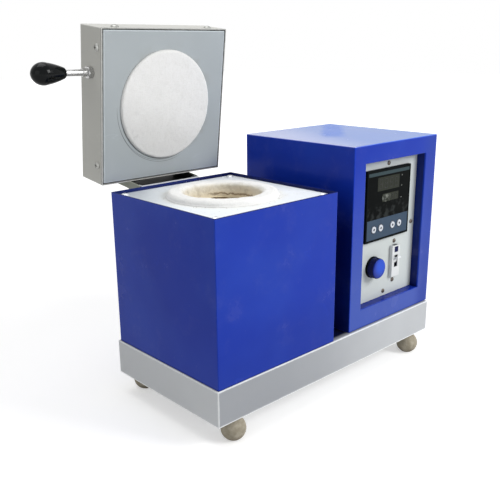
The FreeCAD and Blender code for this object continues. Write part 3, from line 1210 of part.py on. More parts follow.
def breaker_toggle():
    half = TOGGLE_SLOT_WIDTH / 2 - SNUG
    centre = V(BREAKER_MIDDLE_X, TOGGLE_Y, BREAKER_MIDDLE_Z)
    drum = rod(TOGGLE_RADIUS, centre - X_AXIS * half, centre + X_AXIS * half)
    paddle = block(-half, half, -TOGGLE_REACH, 0, -TOGGLE_THICKNESS / 2, TOGGLE_THICKNESS / 2)
    paddle = paddle.makeFillet(TOGGLE_ROUND, edges_along(paddle, X_AXIS, lambda p: p.y < -TOGGLE_REACH + 0.1))
    paddle.rotate(V(0, 0, 0), X_AXIS, -TOGGLE_TILT)
    paddle.translate(centre)
    return fuse_all([drum, paddle, toggle_axle(0)])


def breaker_bracket():
    # A plate behind the panel that traps the breaker's shoulders, on two threaded posts.
    back = SHOULDER - PIN_SLACK
    half_w = BREAKER_WIDTH / 2 + BRACKET_BORDER
    half_h = BREAKER_SCREW_PITCH / 2 + BRACKET_BORDER
    plate = block(BREAKER_MIDDLE_X - half_w, BREAKER_MIDDLE_X + half_w, back - SHEET, back,
                  BREAKER_MIDDLE_Z - half_h, BREAKER_MIDDLE_Z + half_h)
    half_w = BREAKER_WIDTH / 2 + SNUG
    half_h = BREAKER_NOSE / 2 + SNUG
    window = block(BREAKER_MIDDLE_X - half_w, BREAKER_MIDDLE_X + half_w, back - SHEET - 1, back + 1,
                   BREAKER_MIDDLE_Z - half_h, BREAKER_MIDDLE_Z + half_h)
    posts = [rod(BRACKET_POST_RADIUS, p + Y_AXIS * SHEET, V(p.x, back - SHEET, p.z))
             for p in breaker_screw_places()]
    holes = [shank_hole(PANEL_SCREW, p, Y_AXIS) for p in breaker_screw_places()]
    return cut_all(fuse_all([plate.cut(window)] + posts), holes)


def power_relay():
    x, y, z = relay_corner()
    length, width, height = RELAY_SIZE
    x0, x1 = x + RELAY_FLANGE_LENGTH, x + length - RELAY_FLANGE_LENGTH
    base = block(x, x + length, y, y + width, z, z + RELAY_FLANGE)
    body = block(x0, x1, y, y + width, z, z + height)
    posts = [upright(RELAY_POST_RADIUS, post_x, post_y, z + height - 1, z + height + RELAY_POST_RISE)
             for post_x in (x0 + RELAY_POST_INSET, x1 - RELAY_POST_INSET)
             for post_y in (y + RELAY_POST_INSET, y + width - RELAY_POST_INSET)]
    holes = [shank_hole(SMALL_SCREW, p + Z_AXIS * RELAY_FLANGE, Z_AXIS) for p in relay_screw_places()]
    return cut_all(fuse_all([base, body] + posts), holes)


def relay_screws():
    length = RELAY_FLANGE + SHEET
    return Part.makeCompound([screw(SMALL_SCREW, length, p + Z_AXIS * RELAY_FLANGE, Z_AXIS)
                              for p in relay_screw_places()])


def build():
    os.makedirs("parts", exist_ok=True)
    save("base_tray", base_tray())
    save("base_bottom_cover", base_bottom_cover())
    for name, (x, y) in foot_places().items():
        save("foot_" + name, foot(x, y))
    for maker in (foot_screws, base_cover_screws, housing_screws, housing_nuts, casing_shell,
                  casing_top_plate, top_plate_screws, ceramic_collar, muffle, heating_element,
                  insulation_blocks, insulation_floor, hearth_brick, temperature_probe, terminal_block,
                  hinge_bracket, hinge_bracket_screws, hinge_pin, hinge_pin_clip, hinge_sleeve,
                  control_box_shell, control_panel, panel_screws, rear_cover, rear_cover_screws,
                  cable_gland, gland_nut, controller_bezel, controller_window, controller_keypad,
                  controller_case, controller_board, pilot_lamp_body, pilot_lamp_lens, pilot_lamp_nut,
                  breaker_body, breaker_toggle, breaker_bracket, power_relay, relay_screws):
        save(maker.__name__, maker())
    for maker in (lid_shell, lid_inner_plate, lid_screws, lid_disc, lid_insulation, handle_rod, handle_nuts,
                  handle_knob, lid_channel, channel_screws):
        save(maker.__name__, opened(maker()))
    for number, place in enumerate(key_places(), start=1):
        save("controller_key_%d" % number, controller_key(place))


build()
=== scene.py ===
# %% [markdown]
# # Dressing a small melting furnace
#
# The furnace is a grey base tray on four round feet. On it stand a blue casing with a ceramic
# chamber, and a blue control box with a controller, a lamp and a switch. A grey lid is swung open.
# The metalwork arrives as a fixed model of separate pieces. This file gives every piece its finish,
# and makes the soft ceramic fibre, the displays and the small marks that the metalwork can't hold.
# Each step starts with a few words on what the real thing is and on how it is imitated here.

# %% Load the frame
import json
import math

import bmesh
import bpy
from mathutils import Matrix, Vector


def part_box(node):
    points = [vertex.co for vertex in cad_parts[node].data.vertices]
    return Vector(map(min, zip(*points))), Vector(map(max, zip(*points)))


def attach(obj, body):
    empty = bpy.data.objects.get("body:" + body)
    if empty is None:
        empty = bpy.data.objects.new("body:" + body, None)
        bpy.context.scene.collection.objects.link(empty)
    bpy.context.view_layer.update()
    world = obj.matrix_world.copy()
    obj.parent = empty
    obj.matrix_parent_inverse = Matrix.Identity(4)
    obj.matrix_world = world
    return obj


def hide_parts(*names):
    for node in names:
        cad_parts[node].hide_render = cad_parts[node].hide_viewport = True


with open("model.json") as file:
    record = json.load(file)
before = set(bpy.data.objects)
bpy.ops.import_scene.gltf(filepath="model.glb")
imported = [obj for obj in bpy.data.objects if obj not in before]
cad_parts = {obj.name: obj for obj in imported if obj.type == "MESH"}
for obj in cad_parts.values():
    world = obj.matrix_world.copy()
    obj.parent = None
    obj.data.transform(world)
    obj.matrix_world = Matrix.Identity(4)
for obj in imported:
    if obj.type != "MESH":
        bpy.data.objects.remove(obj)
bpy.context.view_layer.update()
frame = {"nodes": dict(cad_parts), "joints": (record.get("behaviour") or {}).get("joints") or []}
nodes = frame["nodes"]
scene = bpy.context.scene
mm = 0.001
print("pieces from the frame:", len(nodes))

# %% [markdown]
# ## Where the photographer stood
#
# The photograph looks at the front left corner of the furnace from a little above. A camera could be
# aimed by eye, but edges would then never fall on the edges in the photograph. Its lens and its
# three turns were worked out from the corners of the housings, so they are set as plain numbers. The
# turns are applied in the order that a tripod head has: pan first, then tilt, then roll.

# %% Camera
CAMERA_PLACE = Vector((-0.63540, -0.61538, 0.43334))
CAMERA_PAN = math.radians(-43.007)
CAMERA_TILT = math.radians(-16.482)
CAMERA_ROLL = math.radians(-0.492)
CAMERA_LENS = 49.614        # on a sensor 36 mm wide

camera_data = bpy.data.cameras.new("camera")
camera_data.lens = CAMERA_LENS
camera_data.sensor_width = 36.0
camera = bpy.data.objects.new("camera", camera_data)
scene.collection.objects.link(camera)
camera.matrix_world = (
    Matrix.Translation(CAMERA_PLACE)
    @ Matrix.Rotation(CAMERA_PAN, 4, "Z")
    @ Matrix.Rotation(math.pi / 2 + CAMERA_TILT, 4, "X")
    @ Matrix.Rotation(CAMERA_ROLL, 4, "Z")
)
scene.camera = camera
scene.view_settings.view_transform = "Standard"
print("camera is", round(CAMERA_PLACE.length, 3), "m from the middle of the feet")

# %% [markdown]
# ## A wire that can do sums
#
# A finish is worked out by a network of nodes, such as a noise times a mask plus a constant. Placing
# and joining those nodes by hand takes many lines, and hides the idea. The class below wraps one
# output socket, and teaches it plus, minus and times, so that a formula in Python adds the nodes
# that it needs. Every other kind of node comes from the one method named node, which also
# serves the geometry trees further down.

# %% The wire class
class Wire:
    """One output socket of a node tree, which takes part in arithmetic."""

    def __init__(self, tree, socket):
        self.tree, self.socket = tree, socket

    def node(self, kind, settings=None, sockets=None, out=0):
        """Adds a node, with its settings first and then its sockets, and returns one of its outputs."""
        made = self.tree.nodes.new(kind)
        for name, value in (settings or {}).items():
            setattr(made, name, value)
        for key, value in (sockets or {}).items():
            if isinstance(value, Wire):
                self.tree.links.new(value.socket, made.inputs[key])
            else:
                made.inputs[key].default_value = value
        return Wire(self.tree, made.outputs[out])

    def sibling(self, out):
        """Another output of the node that this wire comes from."""
        return Wire(self.tree, self.socket.node.outputs[out])

    def maths(self, operation, *values):
        return self.node("ShaderNodeMath", {"operation": operation}, dict(enumerate(values)))

    def __add__(self, other):
        return self.maths("ADD", self, other)

    def __sub__(self, other):
        return self.maths("SUBTRACT", self, other)

    def __rsub__(self, other):
        return self.maths("SUBTRACT", other, self)

    def __mul__(self, other):
        return self.maths("MULTIPLY", self, other)

    def __truediv__(self, other):
        return self.maths("DIVIDE", self, other)

    def __rtruediv__(self, other):
        return self.maths("DIVIDE", other, self)

    def __abs__(self):
        return self.maths("ABSOLUTE", self)

    __radd__, __rmul__ = __add__, __mul__

    def least(self, other):
        return self.maths("MINIMUM", self, other)

    def most(self, other):
        return self.maths("MAXIMUM", self, other)

    def shifted(self, by):
        """This vector moved by another."""
        return self.node("ShaderNodeVectorMath", {"operation": "ADD"}, {0: self, 1: by})

    def stretched(self, by):
        """This vector with each of its three numbers multiplied."""
        return self.node("ShaderNodeVectorMath", {"operation": "MULTIPLY"}, {0: self, 1: by})

    def scaled(self, factor):
        return self.node("ShaderNodeVectorMath", {"operation": "SCALE"}, {0: self, "Scale": factor})

    def length(self):
        return self.node("ShaderNodeVectorMath", {"operation": "LENGTH"}, {0: self}, "Value")

    def axis(self, letter):
        return self.node("ShaderNodeSeparateXYZ", {}, {0: self}, "XYZ".index(letter))

    def geo(self, kind, **sockets):
        """A geometry node without settings. A blank in a socket's name is written as an underscore."""
        named = {key.replace("_", " "): value for key, value in sockets.items()}
        return self.node("GeometryNode" + kind, {}, named)


# %% [markdown]
# ## Colours, and an empty finish to start from
#
# Each finish is a Principled shader. What is the same all over a surface is set on the shader's own
# socket. What changes from place to place, such as a stain, goes into its colour, its roughness or
# a bump. Every pattern reads Object coordinates, which are metres in the furnace's own frame, so
# a pattern has a true size in millimetres and stays on its piece when the piece moves.

# %% Finish helpers
def hue(red, green, blue):
    """A colour given as it looks on a screen, from 0 to 255, as the linear values that a shader takes."""
    parts = [c / 255 for c in (red, green, blue)]
    return (*[c / 12.92 if c <= 0.04045 else ((c + 0.055) / 1.055) ** 2.4 for c in parts], 1.0)


def new_finish(name, level=0.5, **plain):
    """A finish with that specular level and other uniform values by name, and the wire for places on it."""
    finish = bpy.data.materials.new(name)
    finish.use_nodes = True
    tree = finish.node_tree
    shader = tree.nodes["Principled BSDF"]
    shader.inputs["Specular IOR Level"].default_value = level
    for label, value in plain.items():
        shader.inputs[label.replace("_", " ")].default_value = value
    place = tree.nodes.new("ShaderNodeTexCoord")
    return finish, Wire(tree, place.outputs["Object"])


def feed(finish, colour=None, roughness=None, emission=None, relief=None, height=0.0001):
    """Joins the patterns of a finish to its shader. Relief runs from 0 to 1, over that height in metres."""
    tree = finish.node_tree
    shader = tree.nodes["Principled BSDF"]
    wires = {"Base Color": colour, "Roughness": roughness, "Emission Color": emission}
    for label, wire in wires.items():
        if wire is not None:
            tree.links.new(wire.socket, shader.inputs[label])
    if relief is not None:
        bumped = relief.node("ShaderNodeBump", {}, {"Strength": 1.0, "Distance": height, "Height": relief})
        tree.links.new(bumped.socket, shader.inputs["Normal"])
    return finish


# %% [markdown]
# ## A small box of patterns
#
# Real finishes are made of a few things over and over: soft clouds, fine grain, hairlines,
# brushed streaks, spots, and wear along an edge. Each has a helper here whose sizes are in metres.
# The edge finder needs no special node. On the skin of a box the nearest of the six walls is the
# skin itself, so the second nearest says how far away an edge is.

# %% Pattern helpers
def grain(at, size, detail=2.0, harshness=0.5):
    """Soft noise from 0 to 1 whose lumps are about that size."""
    sockets = {"Vector": at, "Scale": 1 / size, "Detail": detail, "Roughness": harshness}
    return at.node("ShaderNodeTexNoise", {}, sockets)


def streaks(at, size, thin, seed=0.0):
    """Noise drawn out along the axes that are given a larger number in thin."""
    return grain(at.stretched([1 / t for t in thin]).shifted((seed, seed, seed)), size, 3.0)


def ramp(wire, start, end):
    """A smooth step from 0 at start to 1 at end. Start may be the larger of the two."""
    falling = float(start > end)
    low, high = sorted((start, end))
    sockets = {"Value": wire, "From Min": low, "From Max": high, "To Min": falling, "To Max": 1.0 - falling}
    return wire.node("ShaderNodeMapRange", {"interpolation_type": "SMOOTHSTEP"}, sockets)


def tint(mask, plain, marked):
    """One colour where the mask is 0 and the other where it is 1."""
    return mask.node("ShaderNodeMix", {"data_type": "RGBA"}, {"Factor": mask, 6: plain, 7: marked}, 2)


def shade(colour, factor):
    """A written colour made lighter or darker."""
    return (*[min(1.0, c * factor) for c in colour[:3]], 1.0)


def spots(at, size, share):
    """Small round marks, one cell in so many of that size."""
    cell = at.node("ShaderNodeTexVoronoi", {"feature": "F1"}, {"Vector": at, "Scale": 1 / size}, "Distance")
    chance = cell.sibling("Color").axis("X")
    return ramp(cell, 0.32, 0.16) * ramp(chance, share, share * 0.9)


def hairlines(at, size, seed=0.0):
    """Fine curved scratches: the thin lines where a drawn-out noise crosses its middle value."""
    wave = streaks(at, size, (4.0, 1.0, 2.5), seed)
    kept = ramp(grain(at.shifted((seed, 1.0, 2.0)), size * 1.7), 0.56, 0.66)
    return ramp(abs(wave - 0.5), 0.006, 0.001) * kept


def edge_distance(at, low, high):
    """Metres from a point on the skin of a box to the nearest of its edges."""
    gaps = [(at.axis(a) - l).least(h - at.axis(a)) for a, l, h in zip("XYZ", low, high)]
    first, second, third = gaps
    return first.least(second).most(first.most(second).least(third))


# %% [markdown]
# ## Powder coat
#
# The sheet metal is powder coated. That paint melts into a tough skin with a shallow orange peel, is
# a little thin and pale where it is pulled over a folded edge, and picks up a faint film of dust and
# hairline scratches. The pale edge is also a painted highlight. One function makes the coat for every
# painted piece, so that blue, grey and panel paint age alike. It is given the piece's own box, which is
# what tells it where the edges are.

# %% Powder coat
DUST = hue(196, 190, 178)


def powder_coat(
    name, colour, box, at=None, gloss=0.3, peel=1.0, film=0.04, edge_wear_and_highlight=0.3, marks=1.0, cover=None
):
    """Sheet metal paint. Gloss is its roughness, peel the depth of its orange peel, film the dust on it,
    edge_wear_and_highlight how pale its worn edges are, which is also a painted highlight, and marks says
    how much the specks and chips show. Cover may lay more colours over it, before its edges are worn.
    At may move the pattern."""
    finish, here = new_finish(name, level=0.1)
    here = here if at is None else at(here)
    paint = tint(grain(here, 0.09), shade(colour, 0.9), shade(colour, 1.1))
    if cover is not None:
        paint = cover(here, paint)
    dust = ramp(grain(here, 0.035, 5.0, 0.62), 0.5, 0.85)
    specks = spots(here, 0.005, 0.012)
    paint = tint(dust * film + specks * 0.12 * marks, paint, DUST)
    edge = edge_distance(here, *box)
    # Worn edges are pale, and the same pale edge is a painted highlight.
    pulled_and_highlit = ramp(edge + grain(here, 0.006) * 0.001, 0.0026, 0.0009)
    paint = tint(pulled_and_highlit * edge_wear_and_highlight, paint, shade(colour, 1.9))
    chipped = ramp(edge, 0.0014, 0.0005) * ramp(grain(here, 0.005, 4.0), 0.71, 0.74)
    paint = tint(chipped * marks, paint, hue(120, 118, 112))
    lines = hairlines(here, 0.03).most(hairlines(here, 0.021, 5.0))
    paint = tint(lines * 0.1, paint, shade(colour, 1.8))
    skin = grain(here, 0.0026, 1.0) * 0.7 + grain(here, 0.0008, 1.0) * 0.12 - (lines * 0.3 + chipped) * marks
    rough = gloss + dust * 0.08 + (lines * 0.15 + chipped * 0.25) * marks
    return feed(finish, paint, rough, relief=skin, height=0.00002 * peel)


def box_of(name, grow=0.0):
    """The box round a piece, as its lowest and highest corner."""
    low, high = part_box(name)
    return [low[i] - grow for i in range(3)], [high[i] + grow for i in range(3)]


def middle(low, high):
    """The middle of a box as seen from above."""
    return Vector(((low[0] + high[0]) / 2, (low[1] + high[1]) / 2, 0.0))


def front_middle(name):
    """The middle of a piece as seen from the front: x and z."""
    low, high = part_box(name)
    return (low.x + high.x) / 2, (low.z + high.z) / 2


finishes = {}           # name of a piece -> its finish


def wear(finish, *names):
    """Notes the finish of the named pieces."""
    finishes.update({name: finish for name in names})
    return finish


print("powder coat is ready, dust colour", [round(c, 2) for c in DUST[:3]])

# %% [markdown]
# ## Blue housings
#
# Both housings and the rear cover are the same blue, with light and shade painted into it. The control
# box's level top carries a painted reflection, pale lilac with a sky blue stripe. The casing's top and rim,
# the sides, the floor and right wall of the opening round the panel, and a band along the foot just above
# the tray are darkened with painted shade, and a painted highlight runs along the front edge of the
# opening's floor. Each is a mask on the place of a point: its height, or how deep it lies in the opening.

# %% Blue paint
BLUE = hue(24, 56, 172)
STRIPE = Vector((0.130, 0.030, 0.0))        # a point in the middle of the painted reflection's stripe on the top
BOX_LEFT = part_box("control_box_shell")[0].x
panel_low, panel_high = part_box("control_panel")
tray_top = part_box("base_tray")[1].z
rim_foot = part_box("casing_top_plate")[1].z      # the casing's rim stands above its top plate


def reflection_on_top(here, x, y):
    """Painted reflection on the control box's top: pale lilac, with a sky blue stripe that fades out towards
    the front left, and a painted highlight along its left edge.
    """
    off_x, off_y = x - STRIPE.x, y - STRIPE.y
    across = abs(off_y * 0.75 - off_x * 0.66 + (grain(here, 0.03, 3.0) - 0.5) * 0.012)
    stripe = ramp(across, 0.021, 0.007) * ramp(off_x * 0.75 + off_y * 0.66, -0.085, -0.035)
    pale = tint(ramp(x + y * -0.4, 0.12, 0.02), hue(108, 142, 208), hue(172, 182, 222))
    pale = tint(stripe, pale, hue(4, 104, 208))
    return tint(ramp(x, BOX_LEFT + 0.0035, BOX_LEFT + 0.001) * 0.8, pale, hue(236, 242, 250))


def blue_cover(low, high, shaded_top):
    """What lies over the blue of a housing with that box: painted shade, painted shadow, a painted highlight,
    a painted reflection, and a haze.
    """
    def cover(here, paint):
        x, y, z = (here.axis(letter) for letter in "XYZ")
        front = ramp(y, low[1] + 0.0006, low[1] + 0.0002)
        flank = ramp(x, low[0] + 0.0006, low[0] + 0.0002) * ramp(z, high[2] - 0.0008, high[2] - 0.0016)
        level = ramp(z, high[2] - 0.0012, high[2] - 0.0004)
        if shaded_top:
            # Painted shade: the left side and the lower front of the casing are darkened.
            paint = tint(flank * 0.22 + front * (0.08 + ramp(z, 0.16, 0.08) * 0.14), paint, hue(0, 4, 60))
            # Painted shade: the casing's level top and the inside of its rim are dark navy.
            rim = ramp(z, rim_foot - 0.0004, rim_foot + 0.0002)
            for along, a, b in ((x, low[0], high[0]), (y, low[1], high[1])):
                rim = rim * ramp(along, a + 0.0003, a + 0.0007) * ramp(along, b - 0.0003, b - 0.0007)
            paint = tint(level.most(rim) * 0.92, paint, hue(12, 15, 54))
        else:
            # Painted reflection: the front is paler towards its foot.
            paint = tint(front * ramp(z, 0.28, 0.11) * 0.15, paint, hue(146, 170, 178))
            # Painted shade: the front is darker towards its top and towards its right end.
            paint = tint(front * ramp(z, 0.25, 0.295) * 0.7, paint, hue(2, 44, 160))
            paint = tint(front * ramp(x, high[0] - 0.04, high[0] - 0.01) * 0.75, paint, hue(24, 52, 150))
            # Painted shade on the floor of the opening, at the panel's foot.
            floor = ramp(abs(z - panel_low.z), 0.0022, 0.0012) * ramp(x, panel_low.x - 0.001, panel_low.x)
            deep = floor * ramp(y, low[1] + 0.0022, low[1] + 0.0034)
            paint = tint(deep * ramp(x, panel_high.x + 0.001, panel_high.x) * 0.6, paint, hue(4, 18, 96))
            # Painted highlight along the front edge of the opening's floor.
            opening_highlight = ramp(abs(x - panel_low.x + 0.0005), 0.0008, 0.0003) * front
            opening_highlight = opening_highlight * ramp(z, panel_low.z, panel_low.z + 0.002)
            paint = tint(opening_highlight * ramp(z, panel_high.z + 0.002, panel_high.z) * 0.5, paint, hue(150, 176, 226))
            # Painted shade on the left side, darker towards the front and the foot.
            shadowed = 0.2 + ramp(z, 0.285, 0.2) * ramp(y, 0.06, -0.08) * 0.62
            paint = tint(flank * shadowed, paint, hue(0, 4, 36))
            # Painted reflection on the level top.
            paint = tint(level * 0.92, paint, reflection_on_top(here, x, y))
        # Painted shade on the right wall of the opening round the panel.
        inside = ramp(y, low[1] + 0.0012, low[1] + 0.003) * ramp(y, panel_low.y + 0.003, panel_low.y + 0.001)
        side = ramp(x, panel_high.x - 0.001, panel_high.x)
        side = side * ramp(z, panel_high.z + 0.004, panel_high.z + 0.002)
        paint = tint(inside * side * ramp(x, high[0] - 0.001, high[0] - 0.002) * 0.8, paint, hue(4, 8, 52))
        # Painted shadow: a dark band along the foot of each housing, just above the tray.
        paint = tint(ramp(z, tray_top + 0.0016, tray_top + 0.0006) * 0.8, paint, hue(8, 10, 40))
        haze = ramp(grain(here.shifted((4.0, 0.0, 0.0)), 0.16, 3.0), 0.42, 0.7)
        return tint(haze * 0.12, paint, hue(70, 110, 216))
    return cover


for name in ("casing_shell", "control_box_shell", "rear_cover"):
    box = box_of(name)
    casing_shaded = name == "casing_shell"
    finishes[name] = powder_coat(
        "blue_" + name, BLUE, box, gloss=0.24, peel=0.6, edge_wear_and_highlight=0.12 if casing_shaded else 0.4, marks=0.15,
        cover=blue_cover(*box, casing_shaded),
    )
print("blue pieces:", len(finishes))

# %% [markdown]
# ## Grey paint, and a lid that is painted lying flat
#
# The tray, the lid and the hinge wear a cooler grey. The open lid leans by the angle that its hinge
# has turned, so its walls don't line up with the frame. A Mapping node turns the pattern by the
# same angle about the hinge. The lid's finish can then be written as if the lid was shut, with its
# walls square to the axes, and the edge finder works on it too.

# %% Grey paint
hinge = next(joint for joint in frame["joints"] if joint["name"] == "lid_hinge")
HINGE = Vector(hinge["pos_m"])
OPEN_ANGLE = math.radians(hinge["range_deg"][1])
OPEN_LID = (
    Matrix.Translation(HINGE) @ Matrix.Rotation(-OPEN_ANGLE, 4, "X") @ Matrix.Translation(-HINGE)
)


def shut(at):
    """The place that a point of the open lid has when the lid is shut."""
    moved = OPEN_LID.inverted().translation
    turn = {"Vector": at, "Location": moved, "Rotation": (OPEN_ANGLE, 0.0, 0.0)}
    return at.node("ShaderNodeMapping", {"vector_type": "POINT"}, turn)


def shut_box(name):
    """The box of a piece of the lid when the lid is shut."""
    back = OPEN_LID.inverted()
    points = [back @ v.co for v in nodes[name].data.vertices]
    return [min(p[i] for p in points) for i in range(3)], [max(p[i] for p in points) for i in range(3)]


GREY = hue(190, 193, 196)
LID_GREY = hue(194, 194, 188)
TRAY_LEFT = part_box("base_tray")[0].x
GAP = (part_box("casing_shell")[1].x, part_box("control_box_shell")[0].x)      # between the housings, along x


def tray_cover(here, paint):
    """Painted shade on the near left of the tray's front, painted light on its left side, and a painted
    shadow on its level top, mottled by noise and darkest between the housings.
    """
    x, y, z = (here.axis(letter) for letter in "XYZ")
    front = ramp(y, -0.0965, -0.0978)
    # Painted shade on the near left of the front.
    shaded_near_left = ramp(x + grain(here, 0.05) * 0.04, 0.16, -0.1) * front
    paint = tint(shaded_near_left * 0.8, paint, hue(152, 155, 160))
    # Painted light on the left side.
    paint = tint(ramp(x, TRAY_LEFT + 0.0012, TRAY_LEFT + 0.0004) * 0.4, paint, hue(222, 225, 226))
    # Painted shadow on the level top, mottled by noise.
    shadow_on_top = ramp(z, tray_top - 0.0012, tray_top - 0.0004) * ramp(y, -0.0966, -0.0945)
    paint = tint(shadow_on_top * (0.35 + grain(here, 0.02, 5.0) * 0.4), paint, hue(92, 92, 96))
    # Painted shade between the housings.
    between = ramp(x, GAP[0] - 0.002, GAP[0]) * ramp(x, GAP[1] + 0.002, GAP[1]) * ramp(y, -0.094, -0.088)
    return tint(shadow_on_top * between, paint, hue(6, 12, 44))


for name in ("base_tray", "base_bottom_cover", "hinge_bracket"):
    finishes[name] = powder_coat(
        "grey_" + name, GREY, box_of(name), gloss=0.34, edge_wear_and_highlight=0.75, cover=tray_cover
    )
channel_low, channel_high = shut_box("lid_channel")
shell_low, shell_high = shut_box("lid_shell")
CHANNEL_DEPTH = 0.010       # lid's rear wall to the outside of the channel's web
WEB_OUTSIDE = shell_high[1] + CHANNEL_DEPTH


def channel_cover(here, paint):
    """Painted shade: the hinge's channel is black inside, between its ears and in front of its web."""
    x, y, z = (here.axis(letter) for letter in "XYZ")
    between = ramp(x, channel_low[0] + 0.0007, channel_low[0] + 0.0013)
    between = between * ramp(x, channel_high[0] - 0.0007, channel_high[0] - 0.0013)
    return tint(between * ramp(y, WEB_OUTSIDE - 0.0004, WEB_OUTSIDE - 0.001), paint, hue(5, 9, 7))


def wall_cover(here, paint):
    """Painted shade: the edge of the lid's left wall is dark, in the gap where the inner plate meets it."""
    edge = ramp(here.axis("Z"), shell_low[2] + 0.0022, shell_low[2] + 0.0012)
    return tint(edge * 0.85, paint, hue(34, 38, 38))


finishes["lid_shell"] = powder_coat(
    "grey_lid_shell", LID_GREY, (shell_low, shell_high), shut, gloss=0.34, edge_wear_and_highlight=0.5, cover=wall_cover
)
finishes["lid_channel"] = powder_coat(
    "grey_lid_channel", hue(158, 162, 148), (channel_low, channel_high), shut, gloss=0.4, edge_wear_and_highlight=0.2,
    cover=channel_cover,
)
print("lid shut, in mm:", [[round(c / mm, 1) for c in corner] for corner in shut_box("lid_shell")])

# %% [markdown]
# ## The lid's inner plate
#
# The plate round the lid's disc is grey paint that has seen heat and hands. Pale arcs are left on it
# low on the left, where the disc was set out with a compass, and there are smudges round the disc.
# Both follow circles about the disc's middle, so they are worked out from the distance to it.

# %% Lid plate
CHAMBER = middle(*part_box("muffle"))
plate_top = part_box("casing_top_plate")[1].z
print("chamber axis in mm:", [round(c / mm, 2) for c in CHAMBER], "top plate at", round(plate_top / mm, 2))


def from_axis(at, axis=CHAMBER):
    """Metres from an upright axis, which is the chamber's unless another is given."""
    return at.shifted(-axis).stretched((1.0, 1.0, 0.0)).length()


def ring_line(distance, radius, width):
    """A thin drawn circle."""
    return ramp(abs(distance - radius), width, width * 0.3)


disc_low, disc_high = shut_box("lid_disc")
DISC_RADIUS = (disc_high[0] - disc_low[0]) / 2
DISC = middle(disc_low, disc_high)
finish = powder_coat(
    "grey_lid_inner_plate", hue(172, 179, 182), shut_box("lid_inner_plate"), shut, gloss=0.3, edge_wear_and_highlight=0.45
)
painted = finish.node_tree.nodes["Principled BSDF"].inputs["Base Color"].links[0].from_socket
paint_wire = Wire(finish.node_tree, painted)
place = shut(paint_wire.node("ShaderNodeTexCoord", {}, {}, "Object"))
away = from_axis(place, DISC)
lower_left = (place.axis("Y") - DISC.y) * 0.85 - (place.axis("X") - DISC.x) * 0.55
lower_left = ramp(lower_left, 0.035, 0.06)
# How far each pencilled circle lies off the disc's middle, across and back, and how much wider it is.
arcs = 0.0
for across, back, wider in ((-0.0025, 0.0025, 0.0015), (-0.004, 0.001, 0.0005)):
    set_out = DISC + Vector((across, back, 0.0))
    arcs = ring_line(from_axis(place, set_out), DISC_RADIUS + wider, 0.00045) + arcs
# Painted shadow round the foot of the disc, on its lower left.
disc_shadow = ramp(away, DISC_RADIUS + 0.0016, DISC_RADIUS + 0.0004) * lower_left
smudge = ramp(away, DISC_RADIUS + 0.014, DISC_RADIUS) * ramp(grain(place, 0.02, 4.0), 0.45, 0.75)
marked = tint(arcs.least(1.0) * lower_left * 0.75, paint_wire, hue(92, 96, 98))
marked = tint(disc_shadow * 0.7, marked, hue(70, 74, 76))
finishes["lid_inner_plate"] = feed(finish, tint(smudge * 0.3, marked, hue(150, 146, 138)))

# %% [markdown]
# ## The cream top plate
#
# The plate that the chamber opens through is matt, heat resistant paint, once white and now cream. It
# is yellowest where the fibre collar meets it, and has fine grit on it. The heat stain is a soft ring
# about the chamber, broken up by noise so that it doesn't look drawn.

# %% Top plate
COLLAR_RADIUS = 0.0687
finish, at = new_finish("cream_top_plate", level=0.3)
away = from_axis(at)
cream = tint(grain(at, 0.05, 4.0), hue(240, 246, 250), hue(248, 252, 255))
warm = ramp(away + grain(at, 0.012, 4.0) * 0.012, COLLAR_RADIUS + 0.019, COLLAR_RADIUS + 0.004)
cream = tint(warm * 0.3, cream, hue(214, 204, 178))
grit = spots(at, 0.0042, 0.13).most(spots(at.shifted((0.3, 0.1, 0.0)), 0.0025, 0.1))
cream = tint(grit * (0.25 + warm * 0.5), cream, hue(120, 100, 74))
wiped = ramp(streaks(at, 0.02, (1.0, 5.0, 1.0)), 0.5, 0.8)
cream = tint(wiped * 0.12, cream, hue(180, 176, 166))
# Painted shade: the left and rear of the plate are darker.
shaded = ramp(at.axis("X") - at.axis("Y") * 0.5 - CHAMBER.x, -0.06, -0.12)
cream = tint(shaded * 0.7, cream, hue(168, 176, 184))
rough = 0.5 + wiped * 0.12 + warm * 0.1
skin = grain(at, 0.0016, 3.0) + grit * 0.6
finishes["casing_top_plate"] = feed(finish, cream, rough, relief=skin, height=0.00007)

# %% Panel paint
PANEL = hue(200, 206, 205)
finishes["control_panel"] = powder_coat(
    "panel_paint", PANEL, box_of("control_panel", grow=0.02), gloss=0.45, peel=1.6, film=0.1
)
print("painted pieces:", sorted(finishes))

# %% [markdown]
# ## Bare metals
#
# The screws, the hinge pin and the handle are bare or plated steel. Metal shows almost only what it
# mirrors, so its character is in how rough it is. Turned steel has rings, brushed steel has
# streaks, and zinc plate is cloudy with a hint of yellow and blue. Tarnish gathers in cloudy patches,
# and lowers the shine there as well as the colour.

# %% Metals
def metal(name, colour, rough, streak=(1.0, 1.0, 1.0), tarnish=0.3, stain=(120, 112, 100), ridge=0.00002):
    """Bare or plated metal, brushed along the axis with the largest number in streak."""
    finish, at = new_finish(name, Metallic=1.0)
    cloud = ramp(grain(at, 0.004, 4.0, 0.6), 0.35, 0.75)
    brushed = streaks(at, 0.0007, streak)
    colours = tint(cloud * tarnish, colour, hue(*stain))
    colours = tint(brushed * 0.2, colours, shade(colour, 0.7))
    return feed(finish, colours, rough + cloud * 0.18 + brushed * 0.1, relief=brushed, height=ridge)


